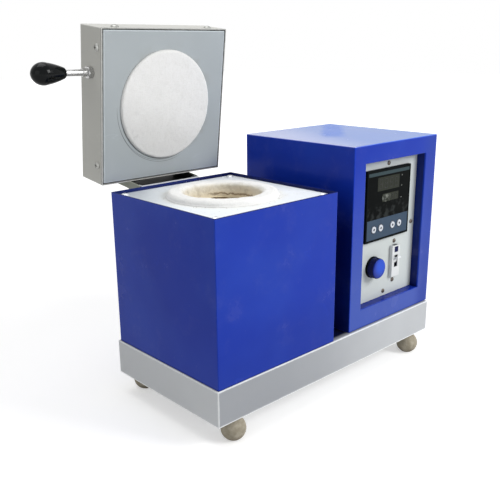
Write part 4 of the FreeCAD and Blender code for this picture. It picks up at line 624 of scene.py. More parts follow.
zinc = metal("zinc_plate", hue(205, 206, 202), 0.24, stain=(176, 168, 140))
nickel = metal("bright_nickel", hue(236, 238, 240), 0.38, tarnish=0.12)
browned = metal("browned_screw", hue(112, 104, 98), 0.34, tarnish=0.7, stain=(70, 60, 50))
turned = metal("turned_steel", hue(196, 196, 196), 0.2, (1.0, 1.0, 14.0), 0.2)
strip = metal("strip_steel", hue(190, 190, 188), 0.34, (12.0, 1.0, 1.0))
sheath = metal("probe_sheath", hue(150, 140, 126), 0.3, (1.0, 1.0, 10.0), 0.7, (96, 74, 52))
wire = metal("heating_wire", hue(92, 86, 82), 0.55, (1.0, 1.0, 1.0), 0.8, (60, 52, 62), 0.00006)
worn_zinc = metal("lid_screw_zinc", hue(172, 173, 170), 0.3, tarnish=0.5, stain=(104, 100, 92))
wear(
    zinc, "foot_screws", "base_cover_screws", "housing_screws", "housing_nuts", "hinge_bracket_screws",
    "hinge_pin", "hinge_pin_clip", "rear_cover_screws", "relay_screws",
)
wear(nickel, "top_plate_screws")
wear(browned, "panel_screws", "channel_screws")
wear(worn_zinc, "lid_screws")
wear(turned, "handle_rod", "handle_nuts")
wear(strip, "breaker_bracket")
wear(sheath, "temperature_probe")
wear(wire, "heating_element")
print("finishes so far:", len(finishes))

# %% [markdown]
# ## Plastics
#
# Moulded plastic is told apart by its skin. The controller's frame has the fine spark-eroded grain
# of its mould, the knob was polished, and the switch is smooth and white. One function covers them
# with a grain size, a grain depth and a gloss. Dirt settles as a thin film, and shows most on black.

# %% Plastics
def moulded(name, colour, rough, size=0.0005, depth=0.00003, film=0.08, dirt=DUST, cover=None, level=0.5):
    """Moulded plastic with the grain of its mould, of that size and depth, and a thin film of dust.
    Cover may lay more colours on it."""
    finish, at = new_finish(name, level)
    dust = ramp(grain(at, 0.012, 5.0, 0.65), 0.45, 0.85)
    lines = hairlines(at, 0.009)
    colours = tint(grain(at, 0.03), shade(colour, 0.93), shade(colour, 1.07))
    colours = tint(dust * film, colours, dirt)
    colours = colours if cover is None else cover(at, colours)
    skin = grain(at, size, 2.0) - lines * 0.5
    return feed(finish, colours, rough + dust * 0.12 + lines * 0.2, relief=skin, height=depth)


black = moulded("grained_black", hue(9, 14, 15), 0.45, 0.0004, 0.00004, 0.006, level=0.02)
knob = moulded("polished_phenolic", hue(7, 10, 12), 0.12, 0.003, 0.00001, 0.008, level=0.13)
sleeve = moulded("sleeve_black", hue(20, 20, 22), 0.5, 0.0008, 0.00004, level=0.15)
keypad = moulded("keypad_film", hue(64, 80, 98), 0.4, 0.0003, 0.00002, 0.03, level=0.03)
key_white = moulded("key_white", hue(206, 211, 218), 0.35, 0.0004, 0.00002, 0.12, hue(150, 148, 142))
switch_white = moulded("switch_white", hue(226, 229, 231), 0.28, 0.0006, 0.00002, 0.1, hue(150, 148, 140))
board = moulded("board_green", hue(40, 96, 60), 0.35, 0.0012, 0.00004)
wear(
    black, "controller_bezel", "controller_case", "pilot_lamp_body", "pilot_lamp_nut", "power_relay",
    "cable_gland", "gland_nut",
)
wear(knob, "handle_knob")
wear(sleeve, "hinge_sleeve")
wear(keypad, "controller_keypad")
wear(board, "controller_board")
wear(switch_white, "breaker_toggle")
wear(key_white, *[f"controller_key_{n}" for n in (1, 2, 3, 4)])
nose_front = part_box("breaker_body")[0].y
NOSE_MIDDLE = front_middle("breaker_body")[0]
SLOT_HALF = 0.0042      # half the width of the toggle's slot


def slot_shade(here, colours):
    """Painted shade: the slot that the toggle stands in is dark inside."""
    slot = ramp(here.axis("Y"), nose_front + 0.0004, nose_front + 0.0012)
    slot = slot * ramp(abs(here.axis("X") - NOSE_MIDDLE), SLOT_HALF + 0.0004, SLOT_HALF)
    return tint(slot, colours, hue(14, 18, 40))


nose_white = moulded(
    "nose_white", hue(214, 217, 218), 0.28, 0.0006, 0.00002, 0.1, hue(150, 148, 140), cover=slot_shade
)
wear(nose_white, "breaker_body")
print("finishes so far:", len(finishes))

# %% [markdown]
# ## Window and lamp cap
#
# The window is smoked acrylic over dark displays, so it reads as a black sheet with faint wiping marks
# in its shine, and a pale painted glare low down. The lamp's cap is tinted plastic over an unlit bulb.
# It could be made clear, but with nothing lit behind it a deep blue skin that goes darker at the foot
# looks the same. A painted highlight lies on its face, up and to the right of its middle.

# %% Window and lamp cap
finish, at = new_finish("smoked_window", level=0.015)
wiped = ramp(streaks(at, 0.012, (5.0, 1.0, 1.0)), 0.45, 0.8)
smoke = tint(wiped * 0.01, hue(8, 11, 11), hue(120, 124, 124))
# Painted glare: a pale patch low on the window, broken up by noise.
below = ramp(at.axis("Z"), 0.236, 0.228) * ramp(grain(at, 0.008, 4.0), 0.45, 0.7)
smoke = tint(below * 0.12, smoke, hue(120, 126, 126))
wear(feed(finish, smoke, 0.07 + wiped * 0.12, relief=grain(at, 0.02), height=0.00008), "controller_window")

finish, at = new_finish("lamp_cap_blue", level=0.15)
lens_low, lens_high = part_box("pilot_lamp_lens")
LENS_ROUND = 0.0016
LENS_LENGTH = panel_low.y - lens_low.y - 0.003
foot = ramp(at.axis("Y"), lens_low.y + 0.0003, lens_low.y + LENS_ROUND)
lamp_x, lamp_z = front_middle("pilot_lamp_lens")
LIT_OFF = 0.003             # the painted highlight lies so far up and to the right of the middle
off_x, off_z = at.axis("X") - lamp_x - LIT_OFF, at.axis("Z") - lamp_z - LIT_OFF
# Painted highlight: a bright spot on the cap's face.
lit = ramp(off_x * off_x + off_z * off_z, 0.00026, 0.0)
cap_blue = tint(foot * 0.92, tint(lit, hue(6, 38, 136), hue(22, 74, 200)), hue(3, 8, 56))
cap_blue = tint(spots(at, 0.002, 0.05) * 0.3, cap_blue, hue(180, 190, 210))
cap_rough = 0.1 + grain(at, 0.006, 4.0) * 0.1
cap_finish = feed(finish, cap_blue, cap_rough, relief=grain(at, 0.0025), height=0.00006)
wear(cap_finish, "pilot_lamp_lens")

# %% [markdown]
# ## Rubber feet
#
# The feet are soft beige rubber balls. Rubber has no clear shine. It is mottled, picks up grey dirt
# towards the ground, and has a faint seam round its middle where the two halves of the mould met.
# The dirt is a mask on height above the floor, broken up with noise.

# %% Rubber feet
finish, at = new_finish("beige_rubber", level=0.25)
low_down = ramp(at.axis("Z") + grain(at, 0.006, 5.0) * 0.012, 0.018, 0.004)
rubber = tint(ramp(grain(at, 0.008, 5.0, 0.6), 0.3, 0.75), hue(150, 142, 124), hue(182, 174, 156))
rubber = tint(low_down * 0.6, rubber, hue(104, 94, 80))
rubber = tint(spots(at, 0.0022, 0.16) * 0.4, rubber, hue(88, 78, 66))
SEAM_HEIGHT = 0.0135
mould_seam = ramp(abs(at.axis("Z") - SEAM_HEIGHT), 0.0003, 0.0001)
skin = grain(at, 0.0012, 4.0, 0.65) * 0.7 + mould_seam * 0.6
rubber_finish = feed(finish, rubber, 0.62 + low_down * 0.2, relief=skin, height=0.00022)
wear(rubber_finish, *[name for name in nodes if name.startswith("foot_") and name != "foot_screws"])

# %% [markdown]
# ## Fibre and fired ceramic
#
# The collar and the lid's disc are ceramic fibre, pressed from short threads: chalky, matt and a
# little hairy. Below them the muffle is fired ceramic, tan and brown from the melt. Fumes have
# stained the inside of the collar too, and more so further down. The stain is written as a
# depth below the collar's top, and only counts near the bore.

# %% Fibre
collar_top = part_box("ceramic_collar")[1].z
BORE_RADIUS = 0.046


def threads(at):
    """Short matted threads, lying in every direction: three drawn-out noises laid over each other."""
    one = streaks(at, 0.0011, (6.0, 1.0, 1.0))
    two = streaks(at, 0.0012, (1.0, 6.0, 1.0), 3.0)
    three = streaks(at, 0.0013, (1.0, 1.0, 1.0), 7.0)
    return one.most(two).most(three)


def fibre(name, at_of=None, stained=False, shaded_and_handled=False):
    """Matt white ceramic fibre. The collar's is stained inside its bore. The disc's is greyer towards its
    lower left, which is painted shade, mottled by handling marks.
    """
    finish, at = new_finish(name, level=0.12, Sheen_Weight=0.15, Sheen_Roughness=0.6)
    at = at if at_of is None else at_of(at)
    mat = threads(at)
    chalk = tint(grain(at, 0.02, 4.0), hue(240, 240, 238), hue(250, 250, 249))
    chalk = tint(ramp(mat, 0.62, 0.45) * 0.2, chalk, hue(212, 210, 204))
    chalk = tint(ramp(grain(at, 0.014, 5.0, 0.6), 0.6, 0.8) * 0.12, chalk, hue(180, 178, 172))
    if shaded_and_handled:
        # Painted shade: greyer towards the lower left, mottled by handling marks.
        low_down = ramp((at.axis("Y") - DISC.y) - (at.axis("X") - DISC.x) * 0.3, -0.01, 0.06)
        handled = ramp(grain(at.shifted((2.0, 0.0, 0.0)), 0.012, 4.0), 0.55, 0.75)
        chalk = tint(0.12 + low_down * (0.4 + handled * 0.3), chalk, hue(184, 184, 182))
    if stained:
        cloud = grain(at, 0.01, 5.0, 0.62)
        inside = ramp(from_axis(at) + cloud * 0.003, BORE_RADIUS + 0.0085, BORE_RADIUS + 0.002)
        depth = collar_top - at.axis("Z")
        deep = ramp(depth + cloud * 0.012, 0.006, 0.030)
        chalk = tint(inside * ramp(depth, 0.0, 0.008) * 0.75, chalk, hue(252, 248, 232))
        chalk = tint(inside * deep * 0.8, chalk, hue(250, 236, 200))
        mottled = ramp(grain(at.shifted((0.0, 5.0, 0.0)), 0.011, 5.0, 0.6), 0.5, 0.7)
        chalk = tint(inside * mottled * 0.4, chalk, hue(170, 160, 136))
        smear = ramp(abs(depth - 0.0205 + cloud * 0.008), 0.0018, 0.0004) * ramp(grain(at, 0.03), 0.35, 0.5)
        chalk = tint(inside * smear * 0.75, chalk, hue(120, 90, 52))
    relief = mat * 0.5 + grain(at, 0.003, 4.0) * 0.5
    return feed(finish, chalk, 0.9 + mat * 0.1, relief=relief, height=0.0006)


collar_finish = fibre("collar_fibre", stained=True)
disc_finish = fibre("disc_fibre", shut, shaded_and_handled=True)
insulation = fibre("insulation_fibre")
wear(collar_finish, "ceramic_collar")
wear(disc_finish, "lid_disc")
wear(insulation, "insulation_blocks", "insulation_floor", "lid_insulation")
print("finishes so far:", len(finishes))

# %% Fired ceramic
finish, at = new_finish("stained_muffle", level=0.3)
cloud = ramp(grain(at, 0.016, 6.0, 0.62), 0.35, 0.7)
fired = tint(cloud, hue(214, 192, 152), hue(176, 144, 100))
runs = ramp(streaks(at, 0.006, (1.0, 1.0, 6.0)), 0.5, 0.75)
fired = tint(runs * 0.6, fired, hue(126, 96, 62))
cells = {"Vector": at, "Scale": 46.0}
cracks = at.node("ShaderNodeTexVoronoi", {"feature": "DISTANCE_TO_EDGE"}, cells, "Distance")
cracked = ramp(cracks, 0.012, 0.004) * ramp(grain(at, 0.03), 0.5, 0.6)
fired = tint(cracked * 0.8, fired, hue(40, 28, 20))
glazed = runs * ramp(grain(at, 0.01), 0.5, 0.65)
muffle_finish = feed(
    finish, fired, 0.75 - glazed * 0.4, relief=grain(at, 0.002, 5.0) * 0.5 - cracked, height=0.0003
)
wear(muffle_finish, "muffle", "hearth_brick")

finish, at = new_finish("steatite", level=0.5)
pale = tint(grain(at, 0.01, 4.0), hue(228, 224, 212), hue(240, 237, 228))
rough = 0.3 + grain(at, 0.003) * 0.1
wear(feed(finish, pale, rough, relief=grain(at, 0.001), height=0.00003), "terminal_block")

# %% [markdown]
# ## Every piece gets its finish
#
# The pieces came in with one plain colour each. The nodes of the frame keep their shape, and only the
# material in each slot is changed. The list is checked both ways, so that a piece
# which was forgotten, or a name with a slip in it, stops the script here.

# %% Paint the frame
missing = sorted(set(nodes) ^ set(finishes))
assert not missing, missing
for name, finish in finishes.items():
    nodes[name].material_slots[0].material = finish
print("finishes:", len(set(finishes.values())), "on", len(finishes), "pieces")

# %% [markdown]
# ## Growing shapes with geometry trees
#
# Where a shape repeats, or follows a rule, a geometry tree makes it. The sizes are the tree's
# named inputs, so one tree serves several pieces. The result is turned into a plain mesh at the end,
# so that the finished part stands on its own without the tree that made it.

# %% Geometry tree helpers
def new_tree(name, **sizes):
    """A geometry tree with an input for each size, and its input wires by name."""
    tree = bpy.data.node_groups.new(name, "GeometryNodeTree")
    tree.interface.new_socket("Geometry", in_out="OUTPUT", socket_type="NodeSocketGeometry")
    tree.interface.new_socket("Geometry", in_out="INPUT", socket_type="NodeSocketGeometry")
    for label, value in sizes.items():
        kind = "NodeSocketInt" if isinstance(value, int) else "NodeSocketFloat"
        tree.interface.new_socket(label, in_out="INPUT", socket_type=kind).default_value = value
    start = tree.nodes.new("NodeGroupInput")
    return tree, {socket.name: Wire(tree, socket) for socket in start.outputs if socket.name}


def close_tree(shape, finish):
    """Ends a tree: instances made real, finish set."""
    real = shape.geo("RealizeInstances", Geometry=shape)
    painted = real.geo("SetMaterial", Geometry=real, Material=finish)
    end = shape.tree.nodes.new("NodeGroupOutput")
    shape.tree.links.new(painted.socket, end.inputs[0])


def put(name, data):
    """A new object in the scene."""
    made = bpy.data.objects.new(name, data)
    scene.collection.objects.link(made)
    return made


def mesh_of(name, points, edges=(), faces=()):
    mesh = bpy.data.meshes.new(name)
    mesh.from_pydata(points, edges, faces)
    return mesh


def grow(name, tree, start, **sizes):
    """Runs a tree on a mesh, and returns what it makes as a plain piece at the origin."""
    piece = put(name, start)
    grower = piece.modifiers.new("grow", "NODES")
    grower.node_group = tree
    for item in tree.interface.items_tree:
        if item.in_out == "INPUT" and item.name in sizes:
            grower[item.identifier] = sizes[item.name]
    grown = piece.evaluated_get(bpy.context.evaluated_depsgraph_get())
    mesh = bpy.data.meshes.new_from_object(grown)
    piece.modifiers.clear()
    piece.data = mesh
    return piece


def tidy(piece, smooth=True, outward=True):
    """Merges doubled points, turns the faces outwards, and sets the shading."""
    work = bmesh.new()
    work.from_mesh(piece.data)
    bmesh.ops.remove_doubles(work, verts=work.verts, dist=1e-6)
    if outward:
        bmesh.ops.recalc_face_normals(work, faces=work.faces)
    work.to_mesh(piece.data)
    work.free()
    piece.data.polygons.foreach_set("use_smooth", [smooth] * len(piece.data.polygons))
    return piece


def settle(piece, body, replaced=()):
    """The last step for a piece of our own: its body, and what it stands for."""
    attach(piece, body)
    if replaced:
        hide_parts(*replaced)
    faces = sum(len(p.vertices) - 2 for p in piece.data.polygons)
    print(f"{piece.name}: {faces} triangles on {body}")
    return piece


# %% [markdown]
# ## The fibre collar
#
# The collar is a ring of ceramic fibre with a soft, rounded lip, lumpy like bread dough. A lathe
# would give a perfect ring, which is just what it isn't. Here a tree bends the outline of the ring's
# wall round a circle, and then presses the skin in by two noises, one for lumps and one for tufts.
# It only ever presses inwards, so the ring stays inside the space that is kept for it, and it is
# left firm where it stands on the plate.

# %% Ring tree
def outline_mesh(name, points, closed=True):
    """Straight edges through points given as distance from the bore and height.

    The tree wants the height downwards."""
    edges = [(i, (i + 1) % len(points)) for i in range(len(points) if closed else len(points) - 1)]
    return mesh_of(name, [(across, -up, 0.0) for across, up in points], edges)


def ring_tree(finish):
    """A ring of soft fibre: an outline bent round the bore and pressed in by noise."""
    tree, size = new_tree(
        "soft_ring", Bore=0.046, Lump_height=0.001, Lump_size=0.014, Tuft_height=0.0003, Tuft_size=0.003,
        Firm_below=0.0, Soft_inside=0.0, Steps_round=320, Steps_across=96,
    )
    shape = size["Geometry"]
    profile = shape.geo("MeshToCurve", Mesh=shape)
    profile = shape.geo("ResampleCurve", Curve=profile, Count=size["Steps_across"])
    circle = shape.geo("CurvePrimitiveCircle", Resolution=size["Steps_round"], Radius=size["Bore"])
    ring = shape.geo("CurveToMesh", Curve=circle, Profile_Curve=profile)
    place, normal = shape.geo("InputPosition"), shape.geo("InputNormal")
    dent = grain(place, size["Lump_size"], 1.5) * size["Lump_height"]
    dent = dent + grain(place, size["Tuft_size"], 2.0) * size["Tuft_height"]
    radius = place.stretched((1.0, 1.0, 0.0)).length()
    above = (place.axis("Z") - size["Firm_below"]) / 0.0015
    within = (size["Soft_inside"] - radius) / 0.002
    soft = above.most(within).most(0.0).least(1.0)
    close_tree(ring.geo("SetPosition", Geometry=ring, Offset=normal.scaled(dent * soft * -1.0)), finish)
    return tree


def arc(centre, radii, start, end, steps=10):
    """Points on part of an ellipse, the angles in degrees."""
    turn = [math.radians(start + (end - start) * i / steps) for i in range(steps + 1)]
    return [(centre[0] + radii[0] * math.cos(a), centre[1] + radii[1] * math.sin(a)) for a in turn]


# %% Collar
COLLAR_RISE = collar_top - plate_top
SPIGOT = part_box("ceramic_collar")[0].z - plate_top
SPIGOT_RADIUS = 0.059
LIP = (0.0075, 0.0062)      # how far the round of the lip reaches, across and down

wall = COLLAR_RADIUS - BORE_RADIUS
collar_outline = [(0.0, SPIGOT)]
collar_outline += arc((LIP[0], COLLAR_RISE - LIP[1]), LIP, 180, 90)
collar_outline += arc((wall - LIP[0], COLLAR_RISE - LIP[1]), LIP, 90, 0)
collar_outline += [(wall, 0.0), (SPIGOT_RADIUS - BORE_RADIUS, 0.0), (SPIGOT_RADIUS - BORE_RADIUS, SPIGOT)]
collar_maker = ring_tree(collar_finish)
collar = grow(
    "fibre_collar", collar_maker, outline_mesh("collar_outline", collar_outline),
    Bore=BORE_RADIUS, Lump_height=0.0022, Lump_size=0.016, Tuft_height=0.0008, Tuft_size=0.0035,
    Firm_below=0.0001, Soft_inside=0.054,
)
collar.data.transform(Matrix.Translation(CHAMBER + Vector((0, 0, plate_top))))
tidy(collar)
settle(collar, "furnace", ["ceramic_collar"])

# %% [markdown]
# ## The disc on the lid
#
# The lid carries a disc of the same fibre that closes the chamber. It is flatter than the collar and
# its edge wavers a little, because it was cut by hand. The same tree makes it from another
# outline, with almost no bore. It is made lying flat, face up, and then turned over and swung open
# with the lid.

# %% Disc
plate_low = shut_box("lid_inner_plate")[0]
DISC_DROP = plate_low[2] - disc_low[2]
DISC_SPIGOT = (0.055, plate_low[2] - disc_high[2])
DISC_ROUND = (0.0034, 0.0026)
PINHOLE = 0.0005

disc_outline = [(-PINHOLE, DISC_DROP)]
disc_outline += arc((DISC_RADIUS - DISC_ROUND[0], DISC_DROP - DISC_ROUND[1]), DISC_ROUND, 90, 0)
disc_outline += [(DISC_RADIUS, 0.0), (DISC_SPIGOT[0], 0.0), DISC_SPIGOT, (-PINHOLE, DISC_SPIGOT[1])]
disc_outline = [disc_outline[0]] + [(a - PINHOLE, u) for a, u in disc_outline[1:-1]] + [disc_outline[-1]]
disc = grow(
    "fibre_disc", ring_tree(disc_finish), outline_mesh("disc_outline", disc_outline, closed=False),
    Bore=PINHOLE, Lump_height=0.0014, Lump_size=0.02, Tuft_height=0.0006, Tuft_size=0.004,
    Firm_below=0.0001, Soft_inside=0.0, Steps_round=280, Steps_across=110,
)
FACE_DOWN = Matrix.Translation(Vector((DISC.x, DISC.y, plate_low[2]))) @ Matrix.Rotation(math.pi, 4, "X")
disc.data.transform(OPEN_LID @ FACE_DOWN)
tidy(disc)
settle(disc, "lid", ["lid_disc"])

# %% [markdown]
# ## Loose threads
#
# Ceramic fibre sheds. Short bent threads stand off its skin, and they are what makes it look soft
# from close by. Hair particles would do it, but they don't survive as a mesh. A tree strews points
# over the skin instead, stands a bent curve on each with its own lean and length, and gives
# the curves a three-sided wall, so that thousands of them stay light.

# %% Thread tree
def random_vector(shape, low, high, seed):
    """A vector drawn for each point, between two corners."""
    sockets = {"Min": low, "Max": high, "Seed": seed}
    return shape.node("FunctionNodeRandomValue", {"data_type": "FLOAT_VECTOR"}, sockets)


def thread_tree(finish):
    tree, size = new_tree(
        "loose_threads", Per_square_metre=20000.0, Length=0.004, Thickness=0.00005, Lean=1.4, Seed=4
    )
    skin = size["Geometry"]
    points = skin.geo(
        "DistributePointsOnFaces", Mesh=skin, Density=size["Per_square_metre"], Seed=size["Seed"]
    )
    lean = random_vector(skin, (-1, -1, -1), (1, 1, 1), size["Seed"])
    along = lean.scaled(size["Lean"]).shifted(points.sibling("Normal"))
    turn = skin.node("FunctionNodeAlignRotationToVector", {"axis": "Z"}, {"Vector": along})
    bend = skin.geo(
        "CurveQuadraticBezier", Resolution=4, Start=(0, 0, -0.1), Middle=(0.1, 0, 0.6), End=(0.5, 0.2, 0.8)
    )
    least, most = size["Length"] * 0.4, size["Length"]
    length = skin.node("FunctionNodeRandomValue", {}, {2: least, 3: most, "Seed": 9}, 1)
    hairs = skin.geo("InstanceOnPoints", Points=points, Instance=bend, Rotation=turn, Scale=length)
    real = skin.geo("RealizeInstances", Geometry=hairs)
    wall = skin.geo("CurvePrimitiveCircle", Resolution=3, Radius=size["Thickness"])
    close_tree(skin.geo("CurveToMesh", Curve=real, Profile_Curve=wall), finish)
    return tree


def skin_of(piece, keep):
    """A copy of those faces of a piece that pass the test, for threads to grow on."""
    work = bmesh.new()
    work.from_mesh(piece.data)
    dropped = [f for f in work.faces if not keep(f.calc_center_median(), f.normal)]
    bmesh.ops.delete(work, geom=dropped, context="FACES")
    mesh = bpy.data.meshes.new(piece.name + "_skin")
    work.to_mesh(mesh)
    work.free()
    return mesh


# %% Threads on the collar and the disc
shedding = thread_tree(collar_finish)
collar_skin = skin_of(collar, lambda at, up: at.z > plate_top + 2 * mm and up.z > -0.2)
threads_made = grow("collar_threads", shedding, collar_skin, Per_square_metre=26000.0, Length=0.0034)
settle(tidy(threads_made, outward=False), "furnace")

lid_out = (OPEN_LID.to_3x3() @ Vector((0, 0, -1))).normalized()
disc_face = OPEN_LID @ Vector((DISC.x, DISC.y, disc_low[2]))
near = DISC_RADIUS + 8 * mm
disc_skin = skin_of(disc, lambda at, up: up.dot(lid_out) > -0.3 and (at - disc_face).length < near)
shedding = thread_tree(disc_finish)
threads_made = grow("disc_threads", shedding, disc_skin, Per_square_metre=14000.0, Length=0.003, Seed=7)
settle(tidy(threads_made, outward=False), "lid")

# %% [markdown]
# ## Display, keys and marks
#
# The controller's face has two display windows, a plain strip above them and three small lamps. The
# windows hold seven-segment figures that aren't lit. Each figure is the same bar seven times, and
# each display the same figure four times, so a tree lays the bars on seven points and then
# repeats them along a line. Flat films are cut from outlines and given a little thickness.

# %% Flat shapes that face the front
def rounded(x0, x1, z0, z1, corner, steps=5):
    """The outline of a rectangle with round corners, in x and z."""
    left, right, bottom, top = x0 + corner, x1 - corner, z0 + corner, z1 - corner
    turned = zip((0, 90, 180, 270), ((right, top), (left, top), (left, bottom), (right, bottom)))
    return [p for start, at in turned for p in arc(at, (corner, corner), start, start + 90, steps)]


def raised(name, outlines, front, depth, finish):
    """Flat shapes whose faces look forwards: outlines in x and z, with walls behind them."""
    work = bmesh.new()
    for outline in outlines:
        face, back = ([work.verts.new((x, y, z)) for x, z in outline] for y in (front, front + depth))
        work.faces.new(face)
        work.faces.new(back[::-1])
        for i, j in zip(range(len(outline)), [*range(1, len(outline)), 0]):
            work.faces.new((face[i], back[i], back[j], face[j]))
    mesh = bpy.data.meshes.new(name)
    work.to_mesh(mesh)
    work.free()
    mesh.materials.append(finish)
    return tidy(put(name, mesh), smooth=False)


window_low, window_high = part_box("controller_window")
FILM = 0.1 * mm
film_front = window_low.y - FILM
strip_film = moulded("strip_film", hue(60, 74, 78), 0.35, 0.0004, 0.00001, 0.03, level=0.02)
UPPER = (0.0872, 0.1346, 0.2502, 0.2683)        # left, right, bottom and top of each display
LOWER = (0.0983, 0.1334, 0.2347, 0.2454)


def glare(here, colours):
    """A painted glare on the left half of the lower display."""
    x, z = here.axis("X"), here.axis("Z")
    place = ramp(x, LOWER[0] + 0.022, LOWER[0] + 0.006) * ramp(z, LOWER[3], LOWER[3] - 0.003)
    return tint(place * ramp(grain(here, 0.006, 4.0), 0.4, 0.65) * 0.5, colours, hue(176, 180, 172))


display_film = moulded(
    "display_film", hue(50, 53, 46), 0.22, 0.001, 0.00001, 0.02, cover=glare, level=0.02
)
HEADER_FOOT = 0.271
HEADER_IN = 0.4 * mm        # the strip stays that far inside the window's rim
header_outline = rounded(
    window_low.x + HEADER_IN, window_high.x - HEADER_IN, HEADER_FOOT, window_high.z - HEADER_IN, 0.6 * mm
)
header = raised("header_strip", [header_outline], film_front, 2 * FILM, strip_film)
settle(header, "furnace")
display_outlines = [rounded(*UPPER, 0.8 * mm), rounded(*LOWER, 0.6 * mm)]
displays = raised("display_windows", display_outlines, film_front, 2 * FILM, display_film)
settle(displays, "furnace")

# %% Figures
def figure_tree(finish):
    """Seven-segment figures in a row, from the seven middles of the bars."""
    tree, size = new_tree("figures", Bar_length=0.005, Bar_width=0.001, Depth=0.0001, Figures=4, Pitch=0.012)
    middles = size["Geometry"]
    bar = middles.geo("CurvePrimitiveQuadrilateral", Width=size["Bar_length"], Height=size["Bar_width"])
    round_end = {"Curve": bar, "Count": 3, "Radius": size["Bar_width"] * 0.48}
    bar = bar.node("GeometryNodeFilletCurve", {"mode": "POLY"}, round_end)
    bar = bar.geo("FillCurve", Curve=bar)
    bar = bar.geo("ExtrudeMesh", Mesh=bar, Offset_Scale=size["Depth"], Individual=False)
    upright = middles.node("GeometryNodeInputNamedAttribute", {"data_type": "FLOAT"}, {"Name": "upright"})
    turn = upright.node("ShaderNodeCombineXYZ", {}, {"Z": upright * (math.pi / 2)})
    figure = middles.geo("InstanceOnPoints", Points=middles, Instance=bar, Rotation=turn)
    step = middles.node("ShaderNodeCombineXYZ", {}, {"X": size["Pitch"]})
    line = middles.geo("MeshLine", Count=size["Figures"], Offset=step)
    close_tree(middles.geo("InstanceOnPoints", Points=line, Instance=figure), finish)
    return tree


def bar_middles(name, width, height):
    """The middles of the seven bars of a figure, and whether each stands upright."""
    w, h = width / 2, height / 2
    points = [(0, h), (0, 0), (0, -h), (-w, h / 2), (w, h / 2), (-w, -h / 2), (w, -h / 2)]
    mesh = mesh_of(name, [(x, y, 0.0) for x, y in points])
    upright = mesh.attributes.new("upright", "FLOAT", "POINT")
    upright.data.foreach_set("value", [0.0] * 3 + [1.0] * 4)
    return mesh


def figures(name, window, share):
    """Four dark figures centred on a display window, as tall as that share of it."""
    left, right, bottom, top = window
    height, pitch = (top - bottom) * share, (right - left) / 4.2
    width = height * 0.52
    row = grow(
        name, figure_tree(unlit), bar_middles(name + "_bars", width, height),
        Bar_length=width * 0.92, Bar_width=height * 0.11, Depth=FILM, Pitch=pitch,
    )
    start = Vector(((left + right) / 2 - 1.5 * pitch, film_front, (top + bottom) / 2))
    row.data.transform(Matrix.Translation(start) @ Matrix.Rotation(math.pi / 2, 4, "X"))
    return settle(tidy(row, smooth=False), "furnace")


unlit = moulded("unlit_segment", hue(34, 36, 34), 0.3, 0.001, 0.00001, level=0.1)
figures("upper_figures", UPPER, 0.66)
figures("lower_figures", LOWER, 0.64)

# %% [markdown]
# ## Small round things on the face
#
# Three little lamps stand beside the displays, each key sits in a dark ring, and the blue lamp's cap has
# fine ribs to grip. All of them are one small shape set on a few points. One tree stands studs of a given
# radius, depth and number of sides, for the lamps and the ribs, and another lays a flat hoop round each key.

# %% Studs, rings and ribs
def stud_tree(finish):
    """An upright stud on every point."""
    tree, size = new_tree("studs", Radius=0.0005, Depth=0.006, Sides=8)
    points = size["Geometry"]
    stud = points.geo("MeshCylinder", Vertices=size["Sides"], Radius=size["Radius"], Depth=size["Depth"])
    close_tree(points.geo("InstanceOnPoints", Points=points, Instance=stud), finish)
    return tree


def hoop_tree(finish):
    """A flat hoop on every point."""
    tree, size = new_tree("hoops", Radius=0.006, Thickness=0.0003, Steps=48)
    points = size["Geometry"]
    path = points.geo("CurvePrimitiveCircle", Resolution=size["Steps"], Radius=size["Radius"])
    wall = points.geo("CurvePrimitiveCircle", Resolution=8, Radius=size["Thickness"])
    hoop = points.geo("CurveToMesh", Curve=path, Profile_Curve=wall)
    close_tree(points.geo("InstanceOnPoints", Points=points, Instance=hoop), finish)
    return tree


# Made lying flat with their front up, and then stood up to face forwards.
STAND_UP = Matrix.Rotation(math.pi / 2, 4, "X")


def facing(piece, front):
    """Stands a piece up to face forwards, with its zero height at that y."""
    piece.data.transform(Matrix.Translation(Vector((0, front, 0))) @ STAND_UP)
    return tidy(piece)


key_middles = [(*front_middle(f"controller_key_{n}"), 0.0) for n in (1, 2, 3, 4)]
keypad_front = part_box("controller_keypad")[0].y
dark_ink = moulded("dark_ink", hue(38, 44, 54), 0.4, 0.0004, 0.00001)
ring_points = mesh_of("ring_points", key_middles)
rings = grow("key_rings", hoop_tree(dark_ink), ring_points, Radius=0.0054, Thickness=0.00028)
settle(facing(rings, keypad_front), "furnace")

BEADS = (0.1402, (0.2659, 0.2518, 0.2356))      # the little lamps: their x, and the z of each
bead_points = mesh_of("bead_points", [(BEADS[0], z, 0.0) for z in BEADS[1]])
bead_film = moulded("bead_film", hue(132, 136, 130), 0.25, 0.001, 0.00001)
lamps = grow("status_beads", stud_tree(bead_film), bead_points, Radius=0.0008, Depth=0.0003, Sides=20)
settle(facing(lamps, window_low.y), "furnace")

RIBS = 40
RIB_LENGTH = LENS_LENGTH - LENS_ROUND
RIB_CIRCLE = (lens_high.x - lens_low.x) / 2 - 0.0003
turns = [i * math.tau / RIBS for i in range(RIBS)]
rib_points = [(lamp_x + RIB_CIRCLE * math.cos(a), lamp_z + RIB_CIRCLE * math.sin(a), 0.0) for a in turns]
rib_points = mesh_of("rib_points", rib_points)
ribs = grow("lamp_ribs", stud_tree(cap_finish), rib_points, Radius=0.00042, Depth=RIB_LENGTH)
settle(facing(ribs, lens_low.y + LENS_ROUND + RIB_LENGTH / 2), "furnace")

# %% [markdown]
# ## Plugs in the hinge's channel
#
# The screws that hold the channel to the lid are reached through four round holes in its web. Small black
# plugs close them, so that no light shows through the hinge.

